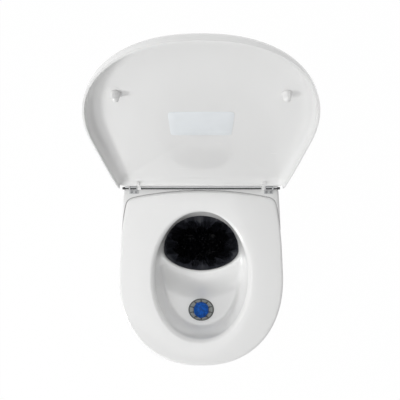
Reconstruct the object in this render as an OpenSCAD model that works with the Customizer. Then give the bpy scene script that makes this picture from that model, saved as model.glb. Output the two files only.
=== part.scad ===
// Urine-diverting dry toilet with a dished lid, shown with the lid open.
// Origin: floor level, on the mid plane, halfway along the casing.
// +Z is up and -Y is the front. Sizes are in millimetres.

/* [Casing] */
// Width of the casing at seat height
body_w = 375; // [364:1:386]
// Length of the casing from front wall to back wall
body_l = 497; // [488:1:506]
// Length of the rounded front of the casing
bow_l = 200; // [194:1:206]
// Height of the seat above the floor
seat_h = 420; // [410:1:440]
// How far the foot of the casing draws in
body_taper = 20; // [10:1:21]
// Wall of the casing
body_wall = 3.2; // [2.6:0.1:3.6]
// Distance from the back wall to the hinge rod
rod_setback = 103.5; // [98:0.5:108]
// Depth of the joint between casing and insert below the seat
joint_drop = 11; // [10:0.5:13]
// Depth of the rear deck below the seat
deck_drop = 1; // [0.6:0.1:1.6]
// How far the rear deck runs in front of the hinge rod
deck_reach = 98; // [92:1:104]
// Width of the flange that carries the insert
flange_w = 11; // [10:0.5:13]
// Thickness of the flange that carries the insert
flange_t = 4; // [3:0.5:6]
// Thickness of the floor tray
tray_t = 5; // [4:0.5:6]
// Height of the tray's locating ribs
rib_h = 6; // [4:0.5:8]

/* [Seat insert] */
// Wall of the insert
insert_wall = 3.2; // [2.6:0.1:3.6]
// Gap between insert and casing
insert_gap = 0.5; // [0.3:0.1:0.8]
// Distance from the hinge rod to the back edge of the insert
insert_setback = 3.6; // [3.2:0.1:4.6]
// Bulge radius of the insert's back edge
back_bulge = 770; // [700:10:900]
// How far the insert's sides draw in at the back
side_draw = 10; // [8:0.5:11]
// Distance from the hinge rod to the oval rim
oval_setback = 50; // [48:0.5:52]
// Width of the oval rim
oval_w = 234; // [228:1:240]
// Length of the oval rim
oval_l = 295.5; // [292:0.5:299]
// Distance from the oval's back to its widest point
oval_wide = 150.5; // [144:0.5:156]
// Distance from the hinge rod to the chute hole
hole_setback = 58.6; // [57.6:0.2:60]
// Width of the chute hole
hole_w = 187; // [180:1:190]
// Length of the chute hole
hole_l = 135; // [130:1:138]
// Distance from the hole's back to its widest point
hole_wide = 85; // [80:1:90]
// Depth of the chute's lower edge below the seat
chute_drop = 58; // [55:1:59]
// Depth of the divider ridge below the seat
ridge_drop = 46; // [43:1:48]
// Depth of the front basin below the seat
basin_drop = 88; // [82:1:92]

/* [Drain] */
// Distance from the hinge rod to the middle of the drain
drain_setback = 291.5; // [289:0.5:293]
// Diameter of the drain hole
drain_d = 46; // [43:0.5:47]
// Width of the strainer's flange
strainer_w = 64; // [60:1:67]
// Length of the strainer's flange
strainer_l = 53; // [51:0.5:54]
// Number of slots in the strainer
strainer_slots = 10; // [8:1:12]
// Diameter of the cleaning block
block_d = 37; // [33:0.5:38]
// Height of the cleaning block
block_h = 18; // [14:1:22]
// Depth of the funnel's cup
cup_h = 22; // [18:1:26]
// Outer diameter of the spout
spout_d = 28; // [24:1:32]
// Length of the spout below the cup
spout_l = 40; // [36:1:44]

/* [Lid] */
// How far the lid stands out past the sides of the casing
lid_overhang = 7; // [6:0.5:9]
// How far the lid stands out past the front of the casing
lid_nose = 5.5; // [5:0.5:9]
// Depth of the lid's lip below the seat when shut
lip_drop = 8; // [6:0.5:9]
// Height of the lid's edge above the seat when shut
lid_rise = 18; // [17:0.5:21]
// Crown of the lid above its edge
lid_crown = 5; // [3:0.5:8]
// Rounding of the lid's outer edge
lid_round = 20; // [17:0.5:21]
// Wall of the lid
lid_wall = 2.8; // [2.4:0.1:3.2]
// Distance from the hinge rod to the back edge of the lid
lid_setback = 15; // [14.5:0.5:17]
// Opening angle of the lid
lid_open = 105; // [102:0.5:107]
// Distance between the two bumpers
bumper_span = 260; // [250:2:268]
// Distance from the hinge rod to the bumpers
bumper_setback = 291; // [284:1:296]
// Diameter of a bumper at its round tip
bumper_d = 9.5; // [8:0.5:11]
// How much wider a bumper is at its foot
bumper_flare = 3; // [1:0.5:4]

/* [Hinge] */
// Diameter of the hinge rod
rod_d = 4.5; // [4:0.1:4.8]
// Height of the rod's middle above the seat
rod_rise = 3.5; // [3.2:0.1:4]
// Distance between the middles of the two lid clips
clip_span = 293; // [288:1:294]
// Width of a lid clip along the rod
clip_w = 7; // [6:0.5:7.5]
// Wall of the clips and brackets round the rod
clip_wall = 2; // [1.8:0.1:2.2]
// Running clearance between clip and rod
clip_clear = 0.06; // [0.03:0.01:0.09]
// Width of a hinge bracket along the rod
bracket_w = 21; // [19:0.5:22]
// Length of a hinge bracket across the rod
bracket_l = 23; // [21:0.5:24]
// Length of the clip's heel behind the rod
heel_l = 14; // [12:0.5:16]

/* [Containers] */
// Width of the solids container inside its rim
bin_w = 250; // [236:2:256]
// Length of the solids container inside its rim
bin_l = 168; // [160:1:170]
// Depth of the solids container's rim below the seat
bin_drop = 77; // [75:1:84]
// Wall of the solids container
bin_wall = 2.4; // [2:0.1:2.8]
// Thickness of the bag where it is gathered
bag_wall = 0.8; // [0.6:0.1:0.9]
// Width of the bag's bottom
bag_w = 130; // [110:2:150]
// Width of the urine container
can_w = 222; // [204:1:224]
// Length of the urine container
can_l = 134; // [126:1:135]
// Depth of the urine container's shoulder below the seat
can_drop = 168; // [165:1:177]
// Wall of the urine container
can_wall = 2.2; // [1.8:0.1:2.8]
// Inner diameter of the urine container's neck
neck_d = 44; // [38:1:46]
// Diameter of the level float
float_d = 30; // [26:1:34]

/* [Ventilation] */
// Outer diameter of the vent spigot
vent_d = 75; // [72:1:75]
// Length of the vent spigot behind the cover
vent_l = 28; // [24:1:36]
// Height of the fan above the floor
vent_h = 300; // [290:1:310]
// Side of the square fan frame
fan_size = 80; // [79:0.5:84]
// Depth of the fan frame
fan_depth = 20; // [18:0.5:25]
// Number of fan blades
fan_blades = 7; // [5:1:9]
// Width of the rear cover
cover_w = 196; // [184:2:204]
// Height of the rear cover
cover_h = 156; // [146:2:164]

/* [Floor fixing] */
// Distance between the floor screws across the toilet
screw_span_x = 290; // [284:1:294]
// Distance between the floor screws along the toilet
screw_span_y = 150; // [144:1:160]
// Diameter of the floor screw holes
screw_hole_d = 7; // [6:0.5:8]

/* [Hidden] */
$fn = 48;
white = "#eef0f0";
grey = "#8f9492";
dark = "#2c2e30";
steel = "#b9bcbf";
blue = "#3d7fb5";
rest_gap = 0.2;       // between pieces that rest on each other
part_gap = 0.4;       // between pieces that stand side by side
corner_power = 36;    // how sharply the back corners turn
bow_power = 2.25;     // how square the rounded front is
over = 1;             // how far a cut runs past a face

// Main planes and centre lines
back_y = body_l / 2;
wide_y = bow_l - back_y;
rod_y = back_y - rod_setback;
rod_z = seat_h + rod_rise;
deck_z = seat_h - deck_drop;
joint_z = seat_h - joint_drop;
hole_y = rod_y - hole_setback - hole_wide;
oval_y = rod_y - oval_setback - oval_wide;
drain_y = rod_y - drain_setback;
basin_z = seat_h - basin_drop;

// ---- Outlines: lists of radii, one for each spoke round a centre on the mid plane ----

seat_reach = rod_y - insert_setback - wide_y;
lid_reach = rod_y - lid_setback - wide_y;
draw_start = 50;      // how far behind the widest point the sides begin to draw in
draw_arc = pow(seat_reach - 22 - draw_start, 2) / side_draw / 2;
corner_at = atan2(seat_reach - 20, body_w / 2 - side_draw);
spokes = spoke_angles(corner_at, 26);
last = len(spokes) - 1;

// Angles that lie closer together round the back corners of the insert and of the casing
function spoke_angles(corner, m) = let(
    side = corner - 8,
    tight = corner + 7,
    wide = corner + 25,
    right = concat(
        [for (i = [0:3]) side * i / 4],
        [for (i = [0:5]) side + (tight - side) * i / 6],
        [for (i = [0:3]) tight + (wide - tight) * i / 4],
        [for (i = [0:1]) wide + (90 - wide) * i / 2.5]))
    concat(right, [90], [for (i = [len(right) - 1:-1:1]) 180 - right[i]],
           [for (i = [0:m - 1]) 180 + 180 * i / m]);

// The nearer of two limits, with a soft change between them
function soft_min(a, b, n) = pow(pow(a, -n) + pow(b, -n), -1 / n);

// The higher of two heights, with a fillet of size k where they cross
function soft_max(a, b, k) = max(a, b) + k * pow(max(k - abs(a - b), 0) / k, 2) / 4;

// Distance along the ray (p, q) to the arc v = limit - (u - start)^2 / (2 bulge)
function to_arc(p, q, limit, bulge, start) = let(
    c = 1 / (2 * bulge),
    k = q - 2 * c * p * start)
    p * limit < q * start || p < 0.001
    ? limit / max(q, 0.001)
    : (sqrt(k * k + 4 * c * p * p * (limit - c * start * start)) - k) / (2 * c * p * p);

// Distance along spoke t to an egg round the same centre
function to_egg(t, half, front, back, nf, nb) = soft_min(
    half / max(abs(cos(t)), 0.001),
    (sin(t) < 0 ? front : back) / max(abs(sin(t)), 0.001),
    sin(t) < 0 ? nf : nb);

// Radii of an egg: half width, front and back lengths, and how square each end is
function egg(half, front, back, nf, nb) = [for (t = spokes) to_egg(t, half, front, back, nf, nb)];

// Distance along spoke t to an egg whose centre lies off in front of the spokes: by halving
function reach(t, off, half, front, back, nf, nb, low = 0, high = body_l, steps = 24) = let(
    r = (low + high) / 2,
    x = r * cos(t),
    y = off + r * sin(t),
    inside = norm([x, y]) < to_egg(atan2(y, x), half, front, back, nf, nb))
    steps == 0
    ? r
    : reach(t, off, half, front, back, nf, nb, inside ? r : low, inside ? high : r, steps - 1);

// Plan of the casing, drawn in by some amount at the front and sides
function casing(draw) = egg(body_w / 2 - draw, bow_l - draw, body_l - bow_l, bow_power, 7);

// Plan of the insert: the casing's front, drawn-in sides and a bulged back edge
seat_r = [for (t = spokes)
    sin(t) < 0
    ? to_egg(t, body_w / 2, bow_l, bow_l, bow_power, bow_power)
    : soft_min(to_arc(sin(t), abs(cos(t)), body_w / 2, draw_arc, draw_start),
               to_arc(abs(cos(t)), sin(t), seat_reach, back_bulge, 0), corner_power)];

// Plan of the lid: the casing's front set out by the overhang, and a straight back edge
lid_r = [for (t = spokes)
    sin(t) < 0
    ? to_egg(t, body_w / 2 + lid_overhang, bow_l + lid_nose, bow_l, bow_power, bow_power)
    : soft_min(to_arc(sin(t), abs(cos(t)), body_w / 2 + lid_overhang, 4 * draw_arc, draw_start),
               lid_reach / max(sin(t), 0.001), corner_power)];

// Radii moved inwards by d, square to the outline; outwards where d is negative
function inset(radii, d) = [for (i = [0:last]) let(
    a = spokes[(i + last) % (last + 1)],
    b = spokes[(i + 1) % (last + 1)],
    run = radii[(i + 1) % (last + 1)] * [cos(b), sin(b)]
        - radii[(i + last) % (last + 1)] * [cos(a), sin(a)],
    square = (run[1] * cos(spokes[i]) - run[0] * sin(spokes[i])) / norm(run))
    radii[i] - (is_list(d) ? d[i] : d) / max(square, 0.6)];

// The smaller of two outlines at every spoke
function lesser(a, b) = [for (i = [0:last]) min(a[i], b[i])];

// Points of an outline round (0, y) at height z
function ring(radii, y, z) = [for (i = [0:last])
    [radii[i] * cos(spokes[i]), y + radii[i] * sin(spokes[i]), is_list(z) ? z[i] : z]];

// A ring drawn towards (0, y) and set at height z
function shrink(points, y, s, z) = [for (p = points) [p[0] * s, y + (p[1] - y) * s, z]];

// Ring a share s of the way between two rings
function between(from, to, s) = [for (i = [0:last]) from[i] + (to[i] - from[i]) * s];

// ---- Skins: closed solids between a grid of rings and its offset ----

// Outward direction of a grid at ring k, spoke i
function facing(grid, k, i) = let(
    n = len(grid[0]),
    up = grid[min(k + 1, len(grid) - 1)][i] - grid[max(k - 1, 0)][i],
    along = grid[k][(i + 1) % n] - grid[k][(i + n - 1) % n],
    out = cross(along, up))
    out / norm(out);

// Solid wall of thickness t behind a grid of rings; either end may be closed
module skin(grid, t, close_first = false, close_last = false) {
    m = len(grid);
    n = len(grid[0]);
    b = m * n;
    behind = [for (k = [0:m - 1]) [for (i = [0:n - 1]) grid[k][i] - t * facing(grid, k, i)]];
    points = concat([for (r = grid) each r], [for (r = behind) each r]);
    function at(k, i) = k * n + i % n;
    walls = [for (k = [0:m - 2], i = [0:n - 1]) each [
        [at(k, i), at(k + 1, i), at(k + 1, i + 1)],
        [at(k, i), at(k + 1, i + 1), at(k, i + 1)],
        [b + at(k, i), b + at(k, i + 1), b + at(k + 1, i + 1)],
        [b + at(k, i), b + at(k + 1, i + 1), b + at(k + 1, i)]]];
    first = close_first
        ? [[for (i = [0:n - 1]) at(0, i)], [for (i = [0:n - 1]) b + at(0, n - 1 - i)]]
        : [for (i = [0:n - 1]) each [
            [at(0, i), at(0, i + 1), b + at(0, i + 1)],
            [at(0, i), b + at(0, i + 1), b + at(0, i)]]];
    end = close_last
        ? [[for (i = [0:n - 1]) at(m - 1, n - 1 - i)], [for (i = [0:n - 1]) b + at(m - 1, i)]]
        : [for (i = [0:n - 1]) each [
            [at(m - 1, i + 1), at(m - 1, i), b + at(m - 1, i)],
            [at(m - 1, i + 1), b + at(m - 1, i), b + at(m - 1, i + 1)]]];
    polyhedron(points, concat(walls, first, end), convexity = 8);
}

// Flat shape of an outline
module plan(radii, y) {
    polygon([for (p = ring(radii, y, 0)) [p[0], p[1]]]);
}

// Upright wall between two plans, from z over height h
module band(outer, inner, y, z, h) {
    translate([0, 0, z])
        linear_extrude(h)
            difference() {
                plan(outer, y);
                plan(inner, y);
            }
}

module rounded_rect(w, h, r) {
    square([w - 2 * r, h], center = true);
    square([w, h - 2 * r], center = true);
    for (x = [-1, 1], y = [-1, 1])
        translate([x * (w / 2 - r), y * (h / 2 - r)])
            circle(r);
}

// Children at both sides of the mid plane
module both_sides() {
    children();
    mirror([1, 0, 0])
        children();
}

// Cylinder along X, centred on x
module x_cylinder(x, d, l) {
    translate([x - l / 2, 0, 0])
        rotate([0, 90, 0])
            cylinder(d = d, h = l);
}

// Places children drawn with z pointing out of the back wall, z = 0 on the wall
module on_back_wall(z = 0) {
    translate([0, back_y + z, vent_h])
        rotate([90, 0, 180])
            children();
}

// ---- Casing ----

deck_round = 7;       // rounding of the deck's outer edge
deck_from = rod_y - deck_reach;
foot_z = tray_t + rest_gap;
window_w = cover_w - 26;
window_h = cover_h - 26;
cover_low = 12;       // how far the cover's middle lies below the fan's
cover_t = 3;
cover_screw_x = cover_w / 2 - 6.5;
cover_screw_y = cover_h / 2 - 6.5;
cover_screw_d = 3.5;
hinge_screw_d = 3;
bracket_x = clip_span / 2 + clip_w / 2 + 0.3 + bracket_w / 2;
bracket_t = 1.6;

function taper_at(z) = body_taper * pow(1 - z / seat_h, 1.6);

casing_grid = concat(
    [for (s = [0, 0.1, 0.26, 0.45, 0.67, 1]) let(z = foot_z + s * (deck_z - deck_round - foot_z))
        ring(casing(taper_at(z)), wide_y, z)],
    [for (a = [30, 60, 90])
        ring(inset(casing(0), deck_round * (1 - cos(a))), wide_y,
             deck_z - deck_round * (1 - sin(a)))]);

// Places children at each floor screw
module at_floor_screws() {
    for (x = [-1, 1], y = [-1, 1])
        translate([x * screw_span_x / 2, y * screw_span_y / 2, 0])
            children();
}

// Places children on the deck at each hinge screw
module at_hinge_screws() {
    both_sides()
        for (x = [-1, 1])
            translate([bracket_x + x * bracket_w / 4, rod_y - 9, deck_z])
                children();
}

// Places children at each screw of the rear cover
module at_cover_screws(z) {
    on_back_wall(z)
        for (x = [-1, 1], y = [-1, 1])
            translate([x * cover_screw_x, y * cover_screw_y - cover_low, 0])
                children();
}

module outer_housing() {
    edge = inset(casing(0), 1);
    pocket = inset(seat_r, -insert_gap);
    pocket_wall = lesser(inset(seat_r, -insert_gap - body_wall), edge);
    ledge = inset(seat_r, insert_wall + flange_w);
    color(white)
        difference() {
            union() {
                difference() {
                    skin(casing_grid, body_wall, close_last = true);
                    translate([0, 0, joint_z])
                        linear_extrude(2 * joint_drop)
                            plan(pocket, wide_y);
                    translate([-body_w, deck_from - body_l, joint_z])
                        cube([2 * body_w, body_l, 2 * joint_drop]);
                }
                band(pocket_wall, ledge, wide_y, joint_z - flange_t, flange_t);
                intersection() {
                    band(pocket_wall, pocket, wide_y, joint_z - flange_t,
                         flange_t + joint_drop - deck_drop - body_wall / 2);
                    translate([-body_w, deck_from + 10, 0])
                        cube([2 * body_w, body_l, seat_h]);
                }
            }
            on_back_wall(-2 * body_wall)
                translate([0, -cover_low, 0])
                    linear_extrude(4 * body_wall)
                        rounded_rect(window_w, window_h, 8);
            at_cover_screws(-2 * body_wall)
                cylinder(d = cover_screw_d + 0.2, h = 4 * body_wall);
            at_hinge_screws()
                translate([0, 0, -body_wall - over])
                    cylinder(d = hinge_screw_d + 0.1, h = body_wall + 2 * over);
        }
}

pad_d = 22;
pad_t = 1.8;

// Places children at each anti-slip pad
module at_pads() {
    both_sides()
        for (p = [[0.6, 0.8], [0.76, 0], [0.48, -0.6]])
            translate([p[0] * body_w / 2, p[1] * back_y, 0])
                children();
}

module base_tray() {
    foot = casing(taper_at(0));
    lip = inset(foot, body_wall + 2 * part_gap);
    bin_foot = inset(bin_r, bin_draw - 1.2);
    can_foot = inset(can_r, can_draw - 1.2);
    rib = 2.4;
    color(white)
        difference() {
            union() {
                linear_extrude(tray_t)
                    plan(foot, wide_y);
                band(lip, inset(lip, rib), wide_y, tray_t, 9);
                band(inset(bin_foot, -rib), bin_foot, bin_y, tray_t, rib_h);
                band(inset(can_foot, -rib), can_foot, can_y, tray_t, rib_h);
                at_floor_screws()
                    cylinder(d = 2 * screw_hole_d + 2, h = tray_t + rib_h / 2);
            }
            at_floor_screws()
                translate([0, 0, -over])
                    cylinder(d = screw_hole_d, h = tray_t + rib_h + 2 * over);
            at_pads()
                translate([0, 0, -over])
                    cylinder(d = pad_d + part_gap, h = pad_t + rest_gap + over);
        }
}

module base_pads() {
    color(dark)
        at_pads()
            cylinder(d = pad_d, h = pad_t);
}

// ---- Seat insert: seat, chute, divider ridge and basin in one moulding ----

seat_dip = 2;         // fall of the seat towards the oval rim
edge_round = 7;       // rounding of the seat's outer edge
skirt_tip = 6;        // straight part of the chute's lower edge
ridge_round = 7;
ridge_rise = 12;      // how much higher the ridge stands at its ends
ramp_l = 57;          // length of the slope from ridge to basin
roll_back = 5;        // rounding of the oval rim at the back
roll_side = 11;       // rounding of the oval rim at the sides and front
roll_turn = 80;       // how far the rounding turns down
wall_steep = 3.5;     // slope of the basin's side walls
front_steep = 9;      // slope of the basin's front wall
basin_fillet = 27;

hole_r = egg(hole_w / 2, hole_l - hole_wide, hole_wide, 1.88, 2.07);
oval_r = [for (t = spokes)
    reach(t, hole_y - oval_y, oval_w / 2, oval_l - oval_wide, oval_wide, 1.75, 2.1)];
roll = [for (t = spokes) roll_side + (roll_back - roll_side) * pow(max(sin(t), 0), 2)];
wall_ring = roll_ring(roll_turn);
hole_ring = ring(hole_r, hole_y, seat_h - chute_drop + skirt_tip);

// The oval rim's rounding, after turning by angle a
function roll_ring(a) = ring(
    inset(oval_r, [for (d = roll) d * sin(a) / sin(roll_turn)]), hole_y,
    [for (d = roll) seat_h - seat_dip - d * (1 - cos(a))]);

// Height of the bowl on spoke i, a share s of the way from the oval rim to the hole
function bowl_z(i, s) = let(
    w = wall_ring[i],
    h = hole_ring[i],
    front = max(-sin(spokes[i]), 0),
    span = norm([w[0] - h[0], w[1] - h[1]]),
    past_hole = (1 - s) * span,
    top = seat_h - ridge_drop + ridge_rise * pow(h[0] / (hole_w / 2), 2),
    down = min(max((past_hole - ridge_round) / ramp_l, 0), 1),
    ridge = past_hole < ridge_round
        ? h[2] + (top - h[2]) * sqrt(1 - pow(1 - past_hole / ridge_round, 2))
        : top + (basin_z - top) * down * down * (3 - 2 * down),
    wall = w[2] - (wall_steep + (front_steep - wall_steep) * pow(front, 3)) * s * span,
    share = min(front / 0.22, 1))
    (1 - share) * (w[2] + (h[2] - w[2]) * s) + share * soft_max(wall, ridge, basin_fillet);

// Ring of the bowl's inside, a share s of the way from the oval rim to the hole
function bowl_ring(s) = [for (i = [0:last]) [
    wall_ring[i][0] + (hole_ring[i][0] - wall_ring[i][0]) * s,
    wall_ring[i][1] + (hole_ring[i][1] - wall_ring[i][1]) * s,
    bowl_z(i, s)]];

// Ring of the seat's top, a share s of the way from its outer edge to the oval rim
function seat_ring(s) = let(
    edge = ring(inset(seat_r, edge_round), wide_y, seat_h),
    rim = roll_ring(0))
    [for (i = [0:last]) [
        edge[i][0] + (rim[i][0] - edge[i][0]) * s,
        edge[i][1] + (rim[i][1] - edge[i][1]) * s,
        seat_h - seat_dip * s * s]];

insert_grid = concat(
    [ring(seat_r, wide_y, joint_z + rest_gap)],
    [for (a = [0, 35, 65])
        ring(inset(seat_r, edge_round * (1 - cos(a))), wide_y,
             seat_h - edge_round * 0.6 * (1 - sin(a)))],
    [for (s = [0, 0.35, 0.7]) seat_ring(s)],
    [for (a = [0, 28, 55, roll_turn]) roll_ring(a)],
    [for (s = [0.02, 0.042, 0.065, 0.09, 0.14, 0.22, 0.32, 0.43, 0.53, 0.62, 0.71, 0.79, 0.86,
               0.92, 0.96, 0.985])
        bowl_ring(s)],
    [hole_ring,
     ring(hole_r, hole_y, seat_h - chute_drop)]);

module seat_insert() {
    color(white)
        difference() {
            skin(insert_grid, insert_wall);
            translate([0, drain_y, basin_z - 2 * insert_wall])
                cylinder(d = drain_d, h = 4 * insert_wall);
        }
}

module insert_seal() {
    color(dark)
        band(inset(seat_r, insert_wall + 1.2), inset(seat_r, insert_wall + 6.2), wide_y,
             joint_z + rest_gap, joint_drop - insert_wall - 2);
}

// ---- Drain ----

seal_t = 1.5;
seal_z = basin_z - insert_wall - seal_t - 0.05;
funnel_z = seal_z - 0.05;
cup_wall = 2.2;

module funnel_seal() {
    color(dark)
        translate([0, drain_y, seal_z])
            difference() {
                cylinder(d = drain_d + 18, h = seal_t);
                translate([0, 0, -over])
                    cylinder(d = drain_d + 4, h = seal_t + 2 * over);
            }
}

module drain_funnel() {
    cup_r = drain_d / 2;
    spout_r = spout_d / 2;
    low = -cup_h - spout_l;
    color(grey)
        translate([0, drain_y, funnel_z])
            rotate_extrude()
                polygon([
                    [cup_r, 0],
                    [cup_r, -8],
                    [spout_r - cup_wall, -cup_h],
                    [spout_r - cup_wall, low],
                    [spout_r, low],
                    [spout_r, -cup_h - 1],
                    [cup_r + cup_wall, -9],
                    [cup_r + cup_wall, -2.5],
                    [cup_r + 11, -2.5],
                    [cup_r + 11, 0]]);
}

plate_t = 2.2;        // strainer plate
finger_h = 3.5;
strainer_z = basin_z + 0.25;

// Strainer: oval slotted plate, a ring of fingers round the block, and a skirt in the drain
module strainer() {
    finger_r = block_d / 2 + 3;
    skirt_r = drain_d / 2 - 0.4;
    slot_w = 2.6;
    color(grey)
        translate([0, drain_y, strainer_z])
            difference() {
                union() {
                    linear_extrude(plate_t)
                        polygon([for (a = [0:7.5:352.5])
                            [strainer_w / 2 * cos(a), strainer_l / 2 * sin(a)]]);
                    cylinder(r = finger_r, h = plate_t + finger_h);
                    translate([0, 0, -8])
                        cylinder(r = skirt_r, h = 8 + plate_t / 2);
                }
                translate([0, 0, plate_t])
                    cylinder(r = finger_r - 2.4, h = finger_h + over);
                translate([0, 0, -8 - over])
                    cylinder(r = skirt_r - 2, h = 8 + over);
                for (i = [0:strainer_slots - 1])
                    rotate([0, 0, (i + 0.5) * 360 / strainer_slots])
                        translate([block_d / 4, -slot_w / 2, -3])
                            cube([finger_r + 1 - block_d / 4, slot_w, plate_t + finger_h + 4]);
            }
}

module cleaning_block() {
    r = block_d / 2;
    edge = 4;
    color(blue)
        translate([0, drain_y, strainer_z + plate_t + 0.1])
            rotate_extrude()
                polygon(concat(
                    [[0, 0], [r, 0]],
                    [for (a = [0:15:90])
                        [r - edge + edge * cos(a), block_h - edge - 1 + edge * sin(a)]],
                    [[0, block_h]]));
}

// ---- Lid, drawn shut and turned back by the opening angle ----

lid_top_r = inset(lid_r, lid_round * 0.92);
lid_top_ring = ring(lid_top_r, wide_y, seat_h + lid_rise);
clip_r = min(rod_d / 2 + clip_clear + clip_wall, rod_rise + deck_drop - rest_gap);
clip_arm_z = -1;      // underside of a clip's arm, above the rod's middle
clip_arm_h = 6.5;
clip_arm_l = 24;

lid_grid = concat(
    [ring(lid_r, wide_y, seat_h - lip_drop)],
    [for (a = [0, 25, 50, 70])
        ring(inset(lid_r, lid_round * (1 - cos(a))), wide_y,
             seat_h + lid_rise - lid_round * (1 - sin(a)))],
    [lid_top_ring],
    [for (s = [0.75, 0.5, 0.25])
        shrink(lid_top_ring, wide_y, s, seat_h + lid_rise + lid_crown * (1 - s * s))]);

// Lowest height of the lid's underside within r of (x, y), with the lid shut
function lid_under(x, y, r) = let(
    p = [x, y - wide_y],
    t = atan2(p[1], p[0]),
    edge = lookup(t < 0 ? t + 360 : t, [for (i = [0:last]) [spokes[i], lid_top_r[i]]]),
    s = (norm(p) + r) / edge)
    seat_h + lid_rise - lid_wall + lid_crown * (1 - s * s);

// Turns children from shut to open about the rod
module opened() {
    translate([0, rod_y, rod_z])
        rotate([-lid_open, 0, 0])
            translate([0, -rod_y, -rod_z])
                children();
}

module lid_shell() {
    color(white)
        opened()
            difference() {
                skin(lid_grid, lid_wall, close_last = true);
                // the back wall stops above the seat
                translate([-body_w / 2 - 1, rod_y - 30, seat_h - 30])
                    cube([body_w + 2, 40, 31.5]);
                both_sides()
                    translate([clip_span / 2 - clip_w / 2 - 0.2, rod_y - 40,
                               rod_z + clip_arm_z - 0.2])
                        cube([clip_w + 0.4, 40, clip_arm_h + 0.4]);
            }
}

module lid_bumpers() {
    x = bumper_span / 2;
    y = rod_y - bumper_setback;
    foot_r = (bumper_d + bumper_flare) / 2;
    top = lid_under(x, y, foot_r) - seat_h - rest_gap;
    tip_z = bumper_d / 2 + 0.3;
    color(white)
        opened()
            both_sides()
                translate([x, y, seat_h]) {
                    translate([0, 0, tip_z])
                        sphere(d = bumper_d);
                    translate([0, 0, tip_z])
                        cylinder(d = bumper_d, h = top - tip_z);
                    translate([0, 0, top - bumper_flare])
                        cylinder(d1 = bumper_d, r2 = foot_r, h = bumper_flare);
                }
}

// Clips: an eye on the rod, an arm through the lid's back wall and a heel that stops the lid
module lid_clips() {
    color(white)
        both_sides()
            translate([clip_span / 2, rod_y, rod_z])
                difference() {
                    union() {
                        x_cylinder(0, 2 * clip_r, clip_w);
                        rotate([-lid_open, 0, 0])
                            translate([-clip_w / 2, -clip_arm_l, clip_arm_z])
                                cube([clip_w, clip_arm_l, clip_arm_h]);
                        translate([-clip_w / 2, 0, rest_gap - rod_rise - deck_drop])
                            cube([clip_w, heel_l, 3.4]);
                    }
                    x_cylinder(0, rod_d + 2 * clip_clear, clip_w + 2 * over);
                }
}

// ---- Hinge ----

cap_l = 6;
rod_half = body_w / 2 - 4;

module hinge_rod() {
    color(steel)
        translate([0, rod_y, rod_z])
            x_cylinder(0, rod_d, 2 * rod_half);
}

module rod_end_caps() {
    color(dark)
        both_sides()
            translate([rod_half, rod_y, rod_z])
                difference() {
                    x_cylinder(0.5, rod_d + 1.4, cap_l);
                    x_cylinder(-cap_l / 2 - over + 0.05, rod_d + 0.04, cap_l + 2 * over);
                }
}

module hinge_brackets() {
    ear_r = min(rod_d / 2 + clip_wall, rod_rise + deck_drop - 0.05);
    ear_w = 3;
    color(grey)
        difference() {
            union() {
                both_sides()
                    translate([bracket_x, rod_y, rod_z])
                        for (x = [-1, 1])
                            x_cylinder(x * (bracket_w - ear_w) / 2, 2 * ear_r, ear_w);
                both_sides()
                    translate([bracket_x - bracket_w / 2, rod_y - bracket_l * 0.56,
                               deck_z + 0.05])
                        cube([bracket_w, bracket_l, bracket_t]);
            }
            translate([0, rod_y, rod_z])
                x_cylinder(0, rod_d + 0.04, 2 * body_w);
            at_hinge_screws()
                cylinder(d = hinge_screw_d + 0.1, h = 2 * bracket_t);
        }
}

module hinge_screws() {
    color(steel)
        at_hinge_screws() {
            translate([0, 0, -7])
                cylinder(d = hinge_screw_d, h = 7 + bracket_t + 0.2);
            translate([0, 0, bracket_t + 0.1])
                cylinder(d = 5.6, h = 1.6);
        }
}

// ---- Solids container and bag ----

bin_y = hole_y + hole_wide - hole_l / 2;
bin_top = seat_h - bin_drop;
bin_foot_z = tray_t + rest_gap;
bin_draw = 14;        // how far the container's sides draw in towards its foot
bin_flare = 5;        // width of its turned-out rim
bin_r = egg(bin_w / 2, bin_l / 2, bin_l / 2, 2.6, 5);
bin_out = inset(bin_r, -bin_wall);

bin_grid = [
    ring(inset(bin_out, bin_draw + 16), bin_y, bin_foot_z),
    ring(inset(bin_out, bin_draw + 5), bin_y, bin_foot_z + 4),
    ring(inset(bin_out, bin_draw), bin_y, bin_foot_z + 14),
    ring(bin_out, bin_y, bin_top - bin_wall - 6),
    ring(inset(bin_out, -0.8), bin_y, bin_top - bin_wall - 1.5),
    ring(inset(bin_out, -2.4), bin_y, bin_top - bin_wall),
    ring(inset(bin_out, -bin_flare), bin_y, bin_top - bin_wall)];

module solids_container() {
    color(grey)
        skin(bin_grid, bin_wall, close_first = true);
}

bag_top = bin_top + part_gap + bag_wall;
bag_foot_z = bin_foot_z + 24;
bag_out = inset(bin_out, -bin_flare - part_gap - bag_wall);
bag_in = inset(bin_r, part_gap + bag_wall);
bag_foot = egg(bag_w / 2, bag_w / 3, bag_w / 3, 2.4, 2.4);

bag_grid = [
    ring(bag_out, bin_y, bin_top - 14),
    ring(bag_out, bin_y, bag_top - 0.8),
    ring(inset(bag_out, 0.8), bin_y, bag_top),
    ring(inset(bag_in, -2.5), bin_y, bag_top),
    ring(inset(bag_in, 0.5), bin_y, bag_top - 2),
    ring(inset(bag_in, 4), bin_y, bag_top - 14),
    between(ring(inset(bag_in, 12), bin_y, bag_top), ring(bag_foot, bin_y, bag_top - 90), 0.35),
    between(ring(inset(bag_in, 12), bin_y, bag_top), ring(bag_foot, bin_y, bag_foot_z), 0.9),
    shrink(ring(bag_foot, bin_y, 0), bin_y, 0.8, bag_foot_z)];

module waste_bag() {
    color(dark)
        skin(bag_grid, bag_wall, close_last = true);
}

module bag_ring() {
    color(grey)
        band(inset(bin_out, -bin_flare + 1), inset(bin_r, 3), bin_y, bag_top + rest_gap, 2.4);
}

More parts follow.
